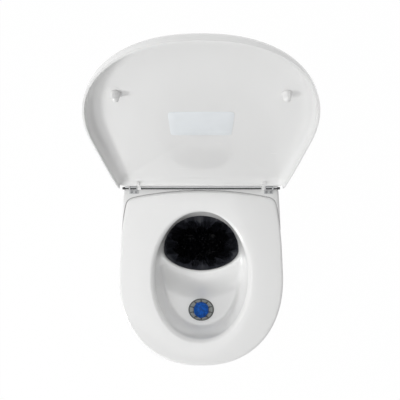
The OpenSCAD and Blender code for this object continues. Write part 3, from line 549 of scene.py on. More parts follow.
class Finish(Nodes):
    """A material being made: surface() sets its shader's sockets."""

    def __init__(self, name):
        self.material = bpy.data.materials.new(name)
        self.material.use_nodes = True
        super().__init__(self.material.node_tree)
        self.shader = self.tree.nodes.new("ShaderNodeBsdfPrincipled")
        self.end = self.tree.nodes.new("ShaderNodeOutputMaterial").inputs["Surface"]
        put(self.tree, self.end, self.shader.outputs[0])
        self.place = self.node("ShaderNodeTexCoord", output="Object")

    def spread(self, stretch):
        """Object coordinates, scaled along each axis by stretch."""
        return self.node("ShaderNodeMapping", Vector=self.place, Scale=stretch)

    def noise(self, scale, detail=4.0, stretch=(1, 1, 1), roughness=0.5):
        """Noise on Object coordinates, from 0 to 1, in features per metre."""
        where = self.spread(stretch)
        return self.value("ShaderNodeTexNoise", Vector=where, Scale=scale, Detail=detail, Roughness=roughness)

    def cells(self, scale, stretch=(1, 1, 1)):
        """Distance to the nearest point of a cell pattern on Object coordinates."""
        return self.value("ShaderNodeTexVoronoi", "Distance", Vector=self.spread(stretch), Scale=scale)

    def axis(self, name):
        """One of the Object coordinates, in metres."""
        return self.value("ShaderNodeSeparateXYZ", name, Vector=self.place)

    def mix(self, share, a, b):
        """Colour a share of the way from a to b."""
        return self.node("ShaderNodeMix", {"data_type": "RGBA"}, output=2, _0=share, _6=a, _7=b)

    def bump(self, height, depth, strength=1.0):
        """Normal from a height from 0 to 1 that stands for depth metres."""
        return self.node("ShaderNodeBump", Height=height, Distance=depth, Strength=strength)

    def surface(self, **sockets):
        """Sets the shader's sockets, and gives back the material."""
        for key, value in sockets.items():
            put(self.tree, self.shader.inputs[key.replace("_", " ")], value)
        return self.material


def shade(base, factor):
    """A colour made darker or lighter by a factor."""
    return tuple(min(c * factor, 1.0) for c in base)


def moulding(name, base, roughness, coat, grain=900.0, depth=0.00002, wear=0.03):
    """Moulded plastic: fine grain, a slow change of gloss, and faint marks from handling."""
    f = Finish(name)
    slow = f.noise(7.0, 3.0)
    marks = f.noise(60.0, 5.0, stretch=(1, 2.5, 1), roughness=0.7).step(0.62, 0.78)
    tint = f.mix(slow.step(0.3, 0.7), base, shade(base, 1.0 - wear))
    return f.surface(
        Base_Color=f.mix(marks * 0.2, tint, shade(base, 0.94)),
        Roughness=(slow - 0.5) * 0.06 + marks * 0.08 + roughness,
        Coat_Weight=coat, Coat_Roughness=0.05, IOR=1.49,
        Normal=f.bump(f.noise(grain, 2.0), depth))


def seat_finish(name, base, wipe):
    """Glossy white moulding: a slow orange peel, wiping haze along one way, and fine hairline scratches."""
    f = Finish(name)
    peel = f.noise(110.0, 2.0)
    haze = f.noise(11.0, 4.0, stretch=wipe, roughness=0.6)
    hair = f.noise(260.0, 2.0, stretch=(0.06, 1, 1)).step(0.70, 0.76)
    tint = f.mix(haze.step(0.35, 0.7), base, shade(base, 0.985))
    return f.surface(
        Base_Color=f.mix(hair * 0.15, tint, shade(base, 0.92)),
        Roughness=haze * 0.10 + hair * 0.12 + 0.12,
        Coat_Weight=(1.0 - haze) * 0.4 + 0.15, Coat_Roughness=0.04, IOR=1.5,
        Normal=f.bump(peel * 0.8 + f.noise(900.0, 1.0) * 0.2, 0.00006))


def casing_finish(base):
    """Satin casing: fine spark texture, a slow change of gloss, with dust and scuffs near the floor."""
    f = Finish("casing_satin")
    spark = f.noise(1500.0, 2.0) * 0.7 + f.cells(1100.0) * 0.5
    low = 1.0 - f.axis("Z").step(0.004, 0.05)
    dust = f.noise(35.0, 6.0, roughness=0.65) * low
    scuff = f.noise(90.0, 4.0, stretch=(1, 1, 6)).step(0.66, 0.76) * low
    tint = f.mix(f.noise(5.0, 2.0).step(0.3, 0.7), base, shade(base, 0.97))
    dusty = f.mix(dust * 0.3, tint, (0.55, 0.53, 0.49))
    return f.surface(
        Base_Color=f.mix(scuff * 0.3, dusty, (0.38, 0.37, 0.35)),
        Roughness=f.noise(14.0, 3.0) * 0.12 + scuff * 0.15 + 0.28,
        Coat_Weight=0.12, Coat_Roughness=0.25, IOR=1.49,
        Normal=f.bump(spark, 0.00004))


def satin_steel(name, base, roughness):
    """Satin steel: a fine grain in colour and gloss, and a slow change of gloss."""
    f = Finish(name)
    grain = f.noise(1600.0, 3.0)
    slow = f.noise(40.0, 3.0)
    return f.surface(
        Base_Color=f.mix(grain, shade(base, 0.82), shade(base, 1.08)),
        Roughness=grain * 0.14 + slow * 0.08 + roughness,
        Metallic=1.0, Normal=f.bump(grain, 0.00001))


def rod_with_painted_reflection(name, base, low, high):
    """Rod with a painted reflection: its front half painted dark and its back half painted bright, with fine
    scratches along it.
    """
    f = Finish(name)
    lines = f.noise(1600.0, 3.0, stretch=(0.02, 1, 1))
    across = (f.axis("Y") - low[1]) / (high[1] - low[1])
    # painted reflection: dark on the rod's front half, bright on its back half
    painted_bright_half = (across + f.noise(60.0, 2.0) * 0.1).step(0.62, 0.86)
    return f.surface(
        Base_Color=f.mix(painted_bright_half, shade(base, 0.12), shade(base, 1.8)),
        Roughness=lines * 0.1 + 0.14, Metallic=painted_bright_half * 0.3 + 0.7,
        Normal=f.bump(lines, 0.00001))


def rubber(name, base):
    """Matt rubber: fine grit and grey bloom."""
    f = Finish(name)
    bloom = f.noise(80.0, 5.0)
    return f.surface(
        Base_Color=f.mix(bloom.step(0.4, 0.8), base, shade(base, 2.4)),
        Roughness=bloom * 0.2 + 0.6, Normal=f.bump(f.noise(1400.0, 3.0), 0.00006))


def film(name, base):
    """Thin black film with crinkles of two sizes and dull patches, with painted light and shade: paler
    towards the top and darker towards the foot.
    """
    f = Finish(name)
    crinkle = f.cells(48.0, stretch=(1, 1, 0.45)) * 0.65 + f.noise(150.0, 4.0, roughness=0.6) * 0.35
    dull = f.noise(22.0, 3.0)
    # painted light and shade: lighter towards the top, darker towards the foot
    painted_light_by_height = f.axis("Z").step(0.12, 0.32)
    return f.surface(
        Base_Color=f.mix(painted_light_by_height * (dull * 0.4 + 0.6), shade(base, 0.5), shade(base, 2.6)),
        Roughness=dull * 0.14 + 0.36 - painted_light_by_height * 0.1, Specular_IOR_Level=0.4, IOR=1.5,
        Normal=f.bump(crinkle, 0.0008, 0.12))


def ribbed(name, base, low, high, count):
    """Moulding with grooves that run out from its middle, painted dark as shade, and a dark line of painted
    shade round its oval edge.

    A groove lies where |cos(count / 2 * angle)| is near 0.
    """
    f = Finish(name)
    x = (f.axis("X") - (low[0] + high[0]) / 2) / ((high[0] - low[0]) / 2)
    y = (f.axis("Y") - (low[1] + high[1]) / 2) / ((high[1] - low[1]) / 2)
    out = (x * x + y * y) ** 0.5
    turn = x.math("ARCTAN2", y, x) * (count / 2)
    ribs = x.math("COSINE", turn).size().step(0.05, 0.5)
    grain = f.noise(500.0, 3.0)
    # painted shade: dark in the grooves and along the oval edge
    light = ribs * (1.0 - out.step(0.86, 0.94)) * (grain * 0.3 + 0.7)
    return f.surface(
        Base_Color=f.mix(light, shade(base, 0.22), shade(base, 1.25)),
        Roughness=grain * 0.12 + 0.3,
        Normal=f.bump(light + grain * 0.05, 0.0008, 0.6))


def pressed_block(name, base):
    """Pressed cleaning block: grains, patches of two blues, pale salts and pits."""
    f = Finish(name)
    patches = f.noise(180.0, 5.0, roughness=0.65)
    salts = f.noise(420.0, 3.0).step(0.62, 0.74)
    blue = f.mix(patches.step(0.35, 0.65), shade(base, 0.6), shade(base, 1.3))
    return f.surface(
        Base_Color=f.mix(salts * 0.5, blue, (0.03, 0.26, 0.6)),
        Roughness=patches * 0.25 + 0.3, Specular_IOR_Level=0.15,
        Normal=f.bump(f.cells(900.0) * 0.5 + patches * 0.8, 0.0005))


def milky(name, base):
    """Milky container plastic: cloudy wall, flow marks and fine grain."""
    f = Finish(name)
    cloud = f.noise(24.0, 4.0)
    flow = f.noise(120.0, 3.0, stretch=(1, 1, 0.15))
    return f.surface(
        Base_Color=f.mix(cloud, shade(base, 0.92), shade(base, 1.05)),
        Roughness=cloud * 0.15 + 0.30, Coat_Weight=0.1,
        Normal=f.bump(flow * 0.7 + f.noise(900.0, 2.0) * 0.3, 0.00006))


def plate_finish(name, base):
    """Bare plate: satin film with a faint cloud and fine grain."""
    f = Finish(name)
    cloud = f.noise(30.0, 4.0)
    return f.surface(
        Base_Color=f.mix(cloud.step(0.35, 0.7), shade(base, 0.985), shade(base, 1.02)),
        Roughness=cloud * 0.12 + 0.30, Coat_Weight=0.15, Coat_Roughness=0.2,
        Normal=f.bump(f.noise(700.0, 2.0), 0.00002))


def dress(piece, material, slot, body, *nodes):
    """The piece wears a finish, rides on a body and stands for CAD nodes."""
    piece.data.materials.clear()
    piece.data.materials.append(material)
    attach(piece, body)
    if nodes:
        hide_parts(*nodes)
    return piece


def dress_nodes(material, *names):
    """CAD nodes that stay keep their shape and wear a finish."""
    for name in names:
        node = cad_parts[name]
        if not node.material_slots:
            node.data.materials.append(material)
        for slot in node.material_slots:
            slot.material = material


# ---- Rings of the toilet's mouldings ----

REST_GAP = 0.0002  # between pieces that rest on each other
PART_GAP = 0.0004  # between pieces that stand side by side
EDGE_ROUND = 0.007  # width of the rounding of the casing's and the seat's edge
EDGE_RISE = 0.6 * EDGE_ROUND  # its height on the seat
TAPER_POWER = 1.6
RIM_SINK = 0.002  # depth of the oval rim below the seat's edge
ROLL_BACK, ROLL_SIDE = 0.005, 0.011  # rounding of the oval rim at the back, and at the sides and front
ROLL_TURN = np.radians(80)
CHUTE_LIP = 0.006  # height of the chute's upright lower end
RIDGE_SAG = 0.012  # depth of the ridge's middle below its ends
RIDGE_RUN = 0.068  # run of the slope from the ridge to the basin's floor
LEAN_SIDE, LEAN_NOSE = 0.032, 0.018  # run of the basin's wall at the sides and at the front
LEAN_SHARE = 0.9  # the most of a spoke that the wall's run takes
MERGE = 0.22  # sine of the angle over which the rear wall turns into the front one
LID_TURN = 70  # degrees of the lid's rounding


def top_round(across, up, top, count, stop=90):
    """Profile of an upper edge: in by across (1 - cos a), at a height of top - up (1 - sin a)."""
    a = np.radians(np.linspace(0, stop, count))
    return list(zip(across * (1 - np.cos(a)), top - up * (1 - np.sin(a))))


def foot_round(r, out, low, count):
    """Profile of a foot: in by out + r (1 - sin a), at a height of low + r (1 - cos a)."""
    a = np.radians(np.linspace(0, 90, count))
    return list(zip(out + r * (1 - np.sin(a)), low + r * (1 - np.cos(a))))


def onward(a, b, count):
    """Rings in even steps from a to b, without a itself."""
    return [between(a, b, share) for share in np.linspace(0, 1, count)[1:]]


def casing_rings(form):
    """Casing from foot to deck: drawn in by taper (1 - z / height)^1.6, then a quarter round to the deck."""
    s = form.s
    rings = []
    for z in np.linspace(s.tray_t + REST_GAP, form.deck_z - EDGE_ROUND, 30):
        draw = s.body_taper * (1 - z / s.seat_h) ** TAPER_POWER
        rings.append(form.ring(form.casing(draw), form.wide_y, z))
    edge = top_round(EDGE_ROUND, EDGE_ROUND, form.deck_z, 10)[1:]
    return np.array(rings + form.rings(form.casing(0.0), form.wide_y, edge))


def roll_ring(form, a):
    """Oval rim's rounding after turning by a: in by d sin a / sin 80, down by d (1 - cos a).

    d is smaller at the back than at the sides and front.
    """
    d = ROLL_SIDE - (ROLL_SIDE - ROLL_BACK) * np.maximum(np.sin(form.t), 0) ** 2
    radii = form.inset(form.oval_r, d * np.sin(a) / np.sin(ROLL_TURN))
    return form.ring(radii, form.hole_y, form.s.seat_h - RIM_SINK - d * (1 - np.cos(a)))


def bowl_rings(form, shares):
    """Bowl from the oval rim (share 0) to the hole (share 1).

    Behind the hole the wall is straight. Ahead of it the floor rises from the hole in a quarter round to
    the ridge and falls to the basin in a smooth step. The wall stands on it as (1 - d / lean)^4, where d
    is the distance from the rim.
    """
    s = form.s
    wall = roll_ring(form, ROLL_TURN)
    hole = form.ring(form.hole_r, form.hole_y, s.seat_h - s.chute_drop + CHUTE_LIP)
    front = np.maximum(-np.sin(form.t), 0)
    span = np.hypot(*(wall - hole)[:, :2].T)
    top = s.seat_h - s.ridge_drop + RIDGE_SAG * (hole[:, 0] / (s.hole_w / 2)) ** 2
    lean = np.minimum(LEAN_SIDE - (LEAN_SIDE - LEAN_NOSE) * front**3, LEAN_SHARE * span)
    rings = []
    for share in shares:
        points = between(wall, hole, share)
        past = (1 - share) * span
        ramp = between(top, form.basin_z, smooth((past - EDGE_ROUND) / RIDGE_RUN))
        edge = np.sqrt(1 - (1 - np.clip(past / EDGE_ROUND, 0, 1)) ** 2)
        ridge = hole[:, 2] + (ramp - hole[:, 2]) * edge
        ahead = ridge + (wall[:, 2] - ridge) * np.maximum(1 - share * span / lean, 0) ** 4
        behind = between(wall[:, 2], hole[:, 2], share)
        points[:, 2] = between(behind, ahead, np.minimum(front / MERGE, 1))
        rings.append(points)
    return rings


def seat_rings(form):
    """Insert from its skirt over the seat and the oval rim, down the bowl to the chute's lower edge."""
    s = form.s
    profile = [(0.0, z) for z in np.linspace(form.joint_z + REST_GAP, s.seat_h - EDGE_RISE, 4)[:-1]]
    profile += top_round(EDGE_ROUND, EDGE_RISE, s.seat_h, 10)[:-1]
    rings = form.rings(form.seat_r, form.wide_y, profile)
    edge = form.ring(form.inset(form.seat_r, EDGE_ROUND), form.wide_y, s.seat_h)
    rim = roll_ring(form, 0.0)
    for share in np.linspace(0, 1, 15)[:-1]:
        points = between(edge, rim, share)
        points[:, 2] = s.seat_h - RIM_SINK * share**2
        rings.append(points)
    rings += [roll_ring(form, a) for a in np.linspace(0, ROLL_TURN, 12)]
    u = np.linspace(0, 1, 64)[1:-1]
    rings += bowl_rings(form, np.sin(u * np.pi / 2) ** 1.6)
    hole_z = s.seat_h - s.chute_drop
    rings += [form.ring(form.hole_r, form.hole_y, z) for z in np.linspace(hole_z + CHUTE_LIP, hole_z, 4)]
    return np.array(rings)


def lid_rings(form):
    """Lid when shut: lip, upright skirt, a round that stops at 70 degrees, and a crown that falls as s^2."""
    s = form.s
    top = s.seat_h + s.lid_rise
    profile = [(0.0, z) for z in np.linspace(s.seat_h - s.lip_drop, top - s.lid_round, 3)]
    profile += top_round(s.lid_round, s.lid_round, top, 14, LID_TURN)[1:]
    rings = form.rings(form.lid_r, form.wide_y, profile)
    edge = form.ring(form.crown_r, form.wide_y, top)
    for share in np.linspace(1, 0.02, 26):
        rings.append(shrink(edge, form.wide_y, share, top + s.lid_crown * (1 - share**2)))
    return np.array(rings)


def lid_inside(form, x, y):
    """Height of the shut lid's inside at (x, y): the crown less the wall."""
    s = form.s
    t = np.arctan2(y - form.wide_y, x) % (2 * np.pi)
    share = np.hypot(x, y - form.wide_y) / np.interp(t, form.t, form.crown_r, period=2 * np.pi)
    return s.seat_h + s.lid_rise + s.lid_crown * (1 - share**2) - s.lid_wall


# ---- Operators: one for each piece or group of like pieces ----

PAST = 0.01  # how far a cutter reaches past what it cuts
BEYOND = 0.3  # half the width of a cutter that is wider than the casing


class Builder(bpy.types.Operator):
    """Gives the operators their form, sizes and colours"""

    def form(self):
        """The outlines for the sizes as they are set."""
        return Form(bpy.context.scene.toilet_sizes)

    def tint(self, name):
        """One of the colours as they are set."""
        return tuple(getattr(bpy.context.scene.toilet_colours, name))


class BuildSeat(Builder):
    """Build the seat insert: seat, oval rim, chute, divider ridge and basin in one moulding"""

    bl_idname = "toilet.seat"
    bl_label = "Seat insert"

    def execute(self, context):
        form = self.form()
        z = form.basin_z
        seat = shell("seat_moulding", seat_rings(form), form.s.insert_wall)
        cut(seat, bar(0, form.drain_y, z - 2 * PAST, z + 2 * PAST, form.s.drain_d / 2))
        gloss = seat_finish("seat_gloss", self.tint("seat"), wipe=(1, 0.4, 1))
        dress(seat, gloss, "gloss_white", "insert", "seat_insert")
        dress_nodes(rubber("seal_foam", self.tint("rubber")), "insert_seal", "funnel_seal")
        return {"FINISHED"}


class BuildCasing(Builder):
    """Build the casing with its rear deck, the flange that carries the insert and the service window"""

    bl_idname = "toilet.casing"
    bl_label = "Casing"

    def execute(self, context):
        form = self.form()
        s = form.s
        above, edge_in = s.seat_h + PAST, 0.001
        casing = shell("casing_moulding", casing_rings(form), s.body_wall, close_last=True)
        pocket = form.inset(form.seat_r, -s.insert_gap)
        cut(casing, prism(pocket, form.t, form.wide_y, form.joint_z, above))
        deck_y = form.rod_y - s.deck_reach
        cut(casing, slab((-BEYOND, deck_y - 2 * BEYOND, form.joint_z), (BEYOND, deck_y, above)))
        self.window(casing, form)
        wall = form.inset(form.seat_r, -s.insert_gap - s.body_wall)
        outer = np.minimum(wall, form.inset(form.casing(0.0), edge_in))
        ledge = form.inset(form.seat_r, s.insert_wall + s.flange_w)
        flange = band("flange", outer, ledge, form.t, form.wide_y, form.joint_z - s.flange_t, form.joint_z)
        casing = join([casing, flange])
        satin = casing_finish(self.tint("casing"))
        dress(casing, satin, "shell_white", "casing", "outer_housing")
        dress_nodes(satin, "base_tray", "rear_cover", "vent_spigot")
        dress_nodes(rubber("pad_rubber", self.tint("rubber")), "base_pads")
        return {"FINISHED"}

    def window(self, casing, form):
        """Cuts the service window that the rear cover closes."""
        s = form.s
        edge, below_fan = 0.013, 0.012
        x, half = (s.cover_w - 2 * edge) / 2, (s.cover_h - 2 * edge) / 2
        y, z = form.back_y, s.vent_h - below_fan
        cut(casing, slab((-x, y - PAST, z - half), (x, y + PAST, z + half)))


class BuildLid(Builder):
    """Build the dished lid with its lip, and the bare plate inside it"""

    bl_idname = "toilet.lid"
    bl_label = "Lid"

    def execute(self, context):
        form = self.form()
        s = form.s
        lid = shell("lid_moulding", lid_rings(form), s.lid_wall, close_last=True)
        self.hinge_slots(lid, form)
        gloss = seat_finish("lid_gloss", self.tint("seat"), wipe=(1, 0.3, 0.3))
        self.finish_open(lid, form, gloss, "lid_shell")
        dress_nodes(gloss, "lid_clips")
        pegs = join([self.bumper(form, side * s.bumper_span / 2) for side in (-1, 1)])
        satin = moulding("bumper_satin", self.tint("seat"), 0.3, 0.2)
        self.finish_open(pegs, form, satin, "lid_bumpers")
        self.finish_open(self.plate(form), form, plate_finish("plate_film", self.tint("plate")))
        return {"FINISHED"}

    def hinge_slots(self, lid, form):
        """Cuts the shut lid's lip away at the rear deck, and makes room for the clips."""
        s = form.s
        half, y, z = s.body_w / 2, form.rod_y, form.rod_z
        lip_out, lip_reach, lip_back, lip_gap = 0.001, 0.030, 0.010, 0.0015
        clip_reach, clip_below, clip_above = 0.040, 0.0012, 0.0057
        cut(lid, slab((-half - lip_out, y - lip_reach, s.seat_h - lip_reach),
                      (half + lip_out, y + lip_back, s.seat_h + lip_gap)))
        for side in (-1, 1):
            x = side * (half - s.clip_inset)
            out = s.clip_w / 2 + REST_GAP
            cut(lid, slab((x - out, y - clip_reach, z - clip_below), (x + out, y, z + clip_above)))

    def finish_open(self, piece, form, material, *nodes):
        """Turns a piece of the shut lid back to where it stands open, and dresses it."""
        points = np.zeros(len(piece.data.vertices) * 3, np.float32)
        piece.data.vertices.foreach_get("co", points)
        turned = form.opened(points.reshape(-1, 3).astype(float))
        piece.data.vertices.foreach_set("co", turned.astype(np.float32).ravel())
        piece.data.update()
        dress(piece, material, "gloss_white", "lid", *nodes)

    def bumper(self, form, x):
        """Peg on the lid's inside: a half-round tip, a straight side and a foot that flares like 1 - cos."""
        s = form.s
        y = form.rod_y - s.bumper_setback
        r, flare, gap = s.bumper_d / 2, s.bumper_flare / 2, 0.0003
        low = s.seat_h + gap
        middle = low + r
        beyond = 1 + (r + flare) / np.hypot(x, y - form.wide_y)
        top = lid_inside(form, abs(x) * beyond, form.wide_y + (y - form.wide_y) * beyond) - gap
        a = np.radians(np.linspace(4, 90, 16))
        w = np.linspace(0, 1, 14)[1:]
        tip = zip(r * np.sin(a), low + r * (1 - np.cos(a)))
        side = zip(r + flare * (1 - np.cos(w * np.pi / 2)), middle + (top - low - r) * w)
        return lathe("bumper_pegs", [*tip, *side], x, y, spokes=64)

    def plate(self, form):
        """Plate with rounded corners inside the lid: shares of an oblong outline, following the crown."""
        s = form.s
        t = np.linspace(0, 2 * np.pi, 160, endpoint=False)
        setback, face, rim, back = 0.215, 0.0006, 0.0004, -0.0002
        y = form.rod_y - setback
        outline = to_egg(t, s.plate_w / 2, s.plate_l / 2, s.plate_l / 2, *PLATE_POWERS)
        section = [(share, face) for share in (0.02, 0.25, 0.5, 0.75, 0.985)]
        section += [(1.0, rim), (1.0, back), (0.5, back), (0.02, back)]
        rings = []
        for share, drop in section:
            x, v = outline * share * np.cos(t), y + outline * share * np.sin(t)
            rings.append(np.stack([x, v, lid_inside(form, x, v) - drop], axis=1))
        return capped("bare_plate", np.array(rings))


class BuildHinge(Builder):
    """Dress the hinge: rod, end caps, deck brackets and screws"""

    bl_idname = "toilet.hinge"
    bl_label = "Hinge"

    def execute(self, context):
        steel = self.tint("steel")
        bracket = shade(self.tint("fitting"), 0.72)
        dress_nodes(rod_with_painted_reflection("rod_steel", steel, *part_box("hinge_rod")), "hinge_rod")
        screws = satin_steel("screw_steel", shade(steel, 0.5), 0.25)
        dress_nodes(screws, "hinge_screws", "fan_screws", "cover_screws")
        dress_nodes(rubber("cap_rubber", self.tint("rubber")), "rod_end_caps")
        dress_nodes(moulding("bracket_satin", bracket, 0.3, 0.2), "hinge_brackets")
        return {"FINISHED"}


class BuildDrain(Builder):
    """Build the pressed block, and dress the strainer and funnel"""

    bl_idname = "toilet.drain"
    bl_label = "Drain and cleaning block"

    def execute(self, context):
        grey = self.tint("grey")
        dress_nodes(moulding("funnel_grey", grey, 0.3, 0.25, 500.0, 0.00006, 0.1), "drain_funnel")
        dress_nodes(ribbed("strainer_grey", self.tint("strainer"), *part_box("strainer"), 10), "strainer")
        blue = pressed_block("block_blue", self.tint("block"))
        dress(self.block(), blue, "block_blue", "block", "cleaning_block")
        return {"FINISHED"}

    def block(self):
        """Pressed block with broken facets: in each direction, the soft minimum of the ways to its planes.

        The plane n . p = d is met at d / (n . direction).
        """
        low, high = (np.array(corner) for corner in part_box("cleaning_block"))
        share, skin, sharpness, least = 0.995, 0.0001, 40.0, 0.001
        centre, half = (low + high) / 2, (high - low) / 2 * share
        low, high = low + skin, high - skin
        rows, spokes = 40, 96
        v = np.linspace(-np.pi / 2, np.pi / 2, rows + 2)[1:-1, None]
        t = np.linspace(0, 2 * np.pi, spokes, endpoint=False)[None, :]
        way = np.stack([np.cos(v) * np.cos(t), np.cos(v) * np.sin(t), np.sin(v) * np.ones_like(t)], axis=2)
        planes = [((0, 0, -1), 1.0), ((0, 0, 1), 0.99)]
        for degrees, slope, distance in (((10, 58, 96, 149, 190, 236, 281, 322), 0.1, 0.93),
                                         ((33, 80, 128, 171, 214, 262, 304, 350), 0.9, 1.18)):
            planes += [((np.cos(a), np.sin(a), slope), distance) for a in np.radians(degrees)]
        planes += [((0.5, 0.2, 1.0), 1.02), ((-0.35, 0.45, 1.0), 1.03), ((-0.1, -0.55, 1.0), 1.0)]
        ways = [distance / np.maximum(way @ np.array(normal), least) for normal, distance in planes]
        size = sum(r**-sharpness for r in ways) ** (-1 / sharpness)
        points = np.clip(centre + way * size[..., None] * half, low, high)
        tips = [[centre[0], centre[1], low[2]], [centre[0], centre[1], points[-1, :, 2].max()]]
        return capped("pressed_block", points, tips, sharp=25.0)


BIN_FLARE = 0.005  # how far the solids container's rim turns out
BIN_ROUND = 0.014  # rounding of its foot
BAG_FOOT = 0.0242  # height of the bag's foot above the tray
FILM = 0.0003  # thickness of the bag's film, drawn thicker than it is
TURN_IN = ((-0.0025, 0.0), (0.0005, 0.002), (0.0040, 0.0140))  # inset and depth of the film past the rim
PLEAT = 0.013  # mean depth of the bag's pleats
PLEATS = ((3, 0.45), (5, 0.45), (9, 0.3), (17, 0.06))  # number of waves round the bag, and their weight
# Direction and pitch of the creases in the bag's foot
CREASES = ((0.3, 0.047), (0.9, 0.031), (1.4, 0.061), (1.9, 0.038), (2.5, 0.027), (2.9, 0.052))
CREASE_RISE = 0.06  # the most that they lift it
CREASE_RUN = 0.05  # height over which they fade out


class BuildBag(Builder):
    """Build the pleated film bag that lines the solids container"""

    bl_idname = "toilet.bag"
    bl_label = "Waste bag"

    def execute(self, context):
        bag = shell("bag_film", self.folded(self.form()), FILM, close_last=True, sharp=180.0)
        dress(bag, film("bag_black", self.tint("bag")), "bag_black", "bin", "waste_bag")
        # The bag tapers, so its cut fills only part of a rectangle 0.80 m round the mouth and 0.39 m deep.
        return {"FINISHED"}

    def hung(self, form, top, foot_z):
        """Rings of the bag before it is folded: over the container's rim, then down to its foot."""
        s, y = form.s, form.bin_y
        out = form.inset(form.bin_r, -s.bin_wall - BIN_FLARE - PART_GAP - s.bag_wall)
        inside = form.inset(form.bin_r, PART_GAP + s.bag_wall)
        foot = to_egg(form.t, s.bag_w / 2, s.bag_w / 3, s.bag_w / 3, *BAG_FOOT_POWERS)
        hem_l, fold, neck_in, neck_l = 0.0148, 0.0008, 0.012, 0.090
        hem = [(0.0, z) for z in np.linspace(top - hem_l, top - fold, 8)]
        rings = form.rings(out, y, hem + [(fold, top)])
        rings += form.rings(inside, y, [(d, top - drop) for d, drop in TURN_IN])
        mouth = form.ring(form.inset(inside, neck_in), y, top)
        neck = between(mouth, form.ring(foot, y, top - neck_l), 0.35)
        low = between(mouth, form.ring(foot, y, foot_z), 0.9)
        floor = shrink(form.ring(foot, y, 0), y, 0.8, foot_z)
        rings += onward(rings[-1], neck, 9) + onward(neck, low, 70) + onward(low, floor, 6)
        rings += [shrink(floor, y, share, foot_z) for share in np.linspace(0.94, 0.04, 16)]
        return np.array(rings)

    def folded(self, form):
        """The hung film with its pleats, and a crumpled foot.

        Pleats are a sum of waves 1 - 2 |sin|^0.7 round the bag. They begin below the rim, are full at a
        seventh of the depth and draw in to less than half of that from the middle down. The foot is lifted
        by the mean of creased waves |sin|, to the power 1.5, that cross it in six directions.
        """
        s, y = form.s, form.bin_y
        top = s.seat_h - s.bin_drop + PART_GAP + s.bag_wall
        foot_z = s.tray_t + BAG_FOOT
        grid = self.hung(form, top, foot_z)
        depth = np.clip((top - 0.010 - grid[..., 2]) / (top - foot_z), 0, 1)
        folds = np.zeros_like(depth)
        rng = np.random.default_rng(7)
        for count, weight in PLEATS:
            phase = rng.uniform(0, 2 * np.pi)
            drift = rng.uniform(-1.4, 1.4)
            wave = np.sin(count * form.t[None] + phase + drift * depth * 6)
            folds += weight * (1 - 2 * np.abs(wave) ** 0.7)
        rise = smooth(depth / 0.14) * (1 - 0.55 * smooth((depth - 0.5) / 0.5))
        radius = np.hypot(grid[..., 0], grid[..., 1] - y)
        share = 1 - PLEAT * (1.0 + folds) * rise / np.maximum(radius, 0.02)
        grid[..., 0] *= share
        grid[..., 1] = y + (grid[..., 1] - y) * share
        grid[..., 2] += 0.002 * folds * rise * (grid[..., 2] > foot_z + 0.004)
        crumple = np.zeros_like(depth)
        for turn, pitch in CREASES:
            along = grid[..., 0] * np.cos(turn) + (grid[..., 1] - y) * np.sin(turn)
            crumple += np.abs(np.sin(np.pi * along / pitch + 5 * turn)) / len(CREASES)
        near_foot = smooth((foot_z + CREASE_RUN - grid[..., 2]) / CREASE_RUN)
        grid[..., 2] += CREASE_RISE * crumple**1.5 * near_foot
        return grid


CAN_DRAW, CAN_ROUND = 0.006, 0.013  # how far the urine container's foot draws in, and its rounding
ARCH_R, ARCH_BAR = 0.042, 0.0055  # radius of the carrying arch, and of its bar


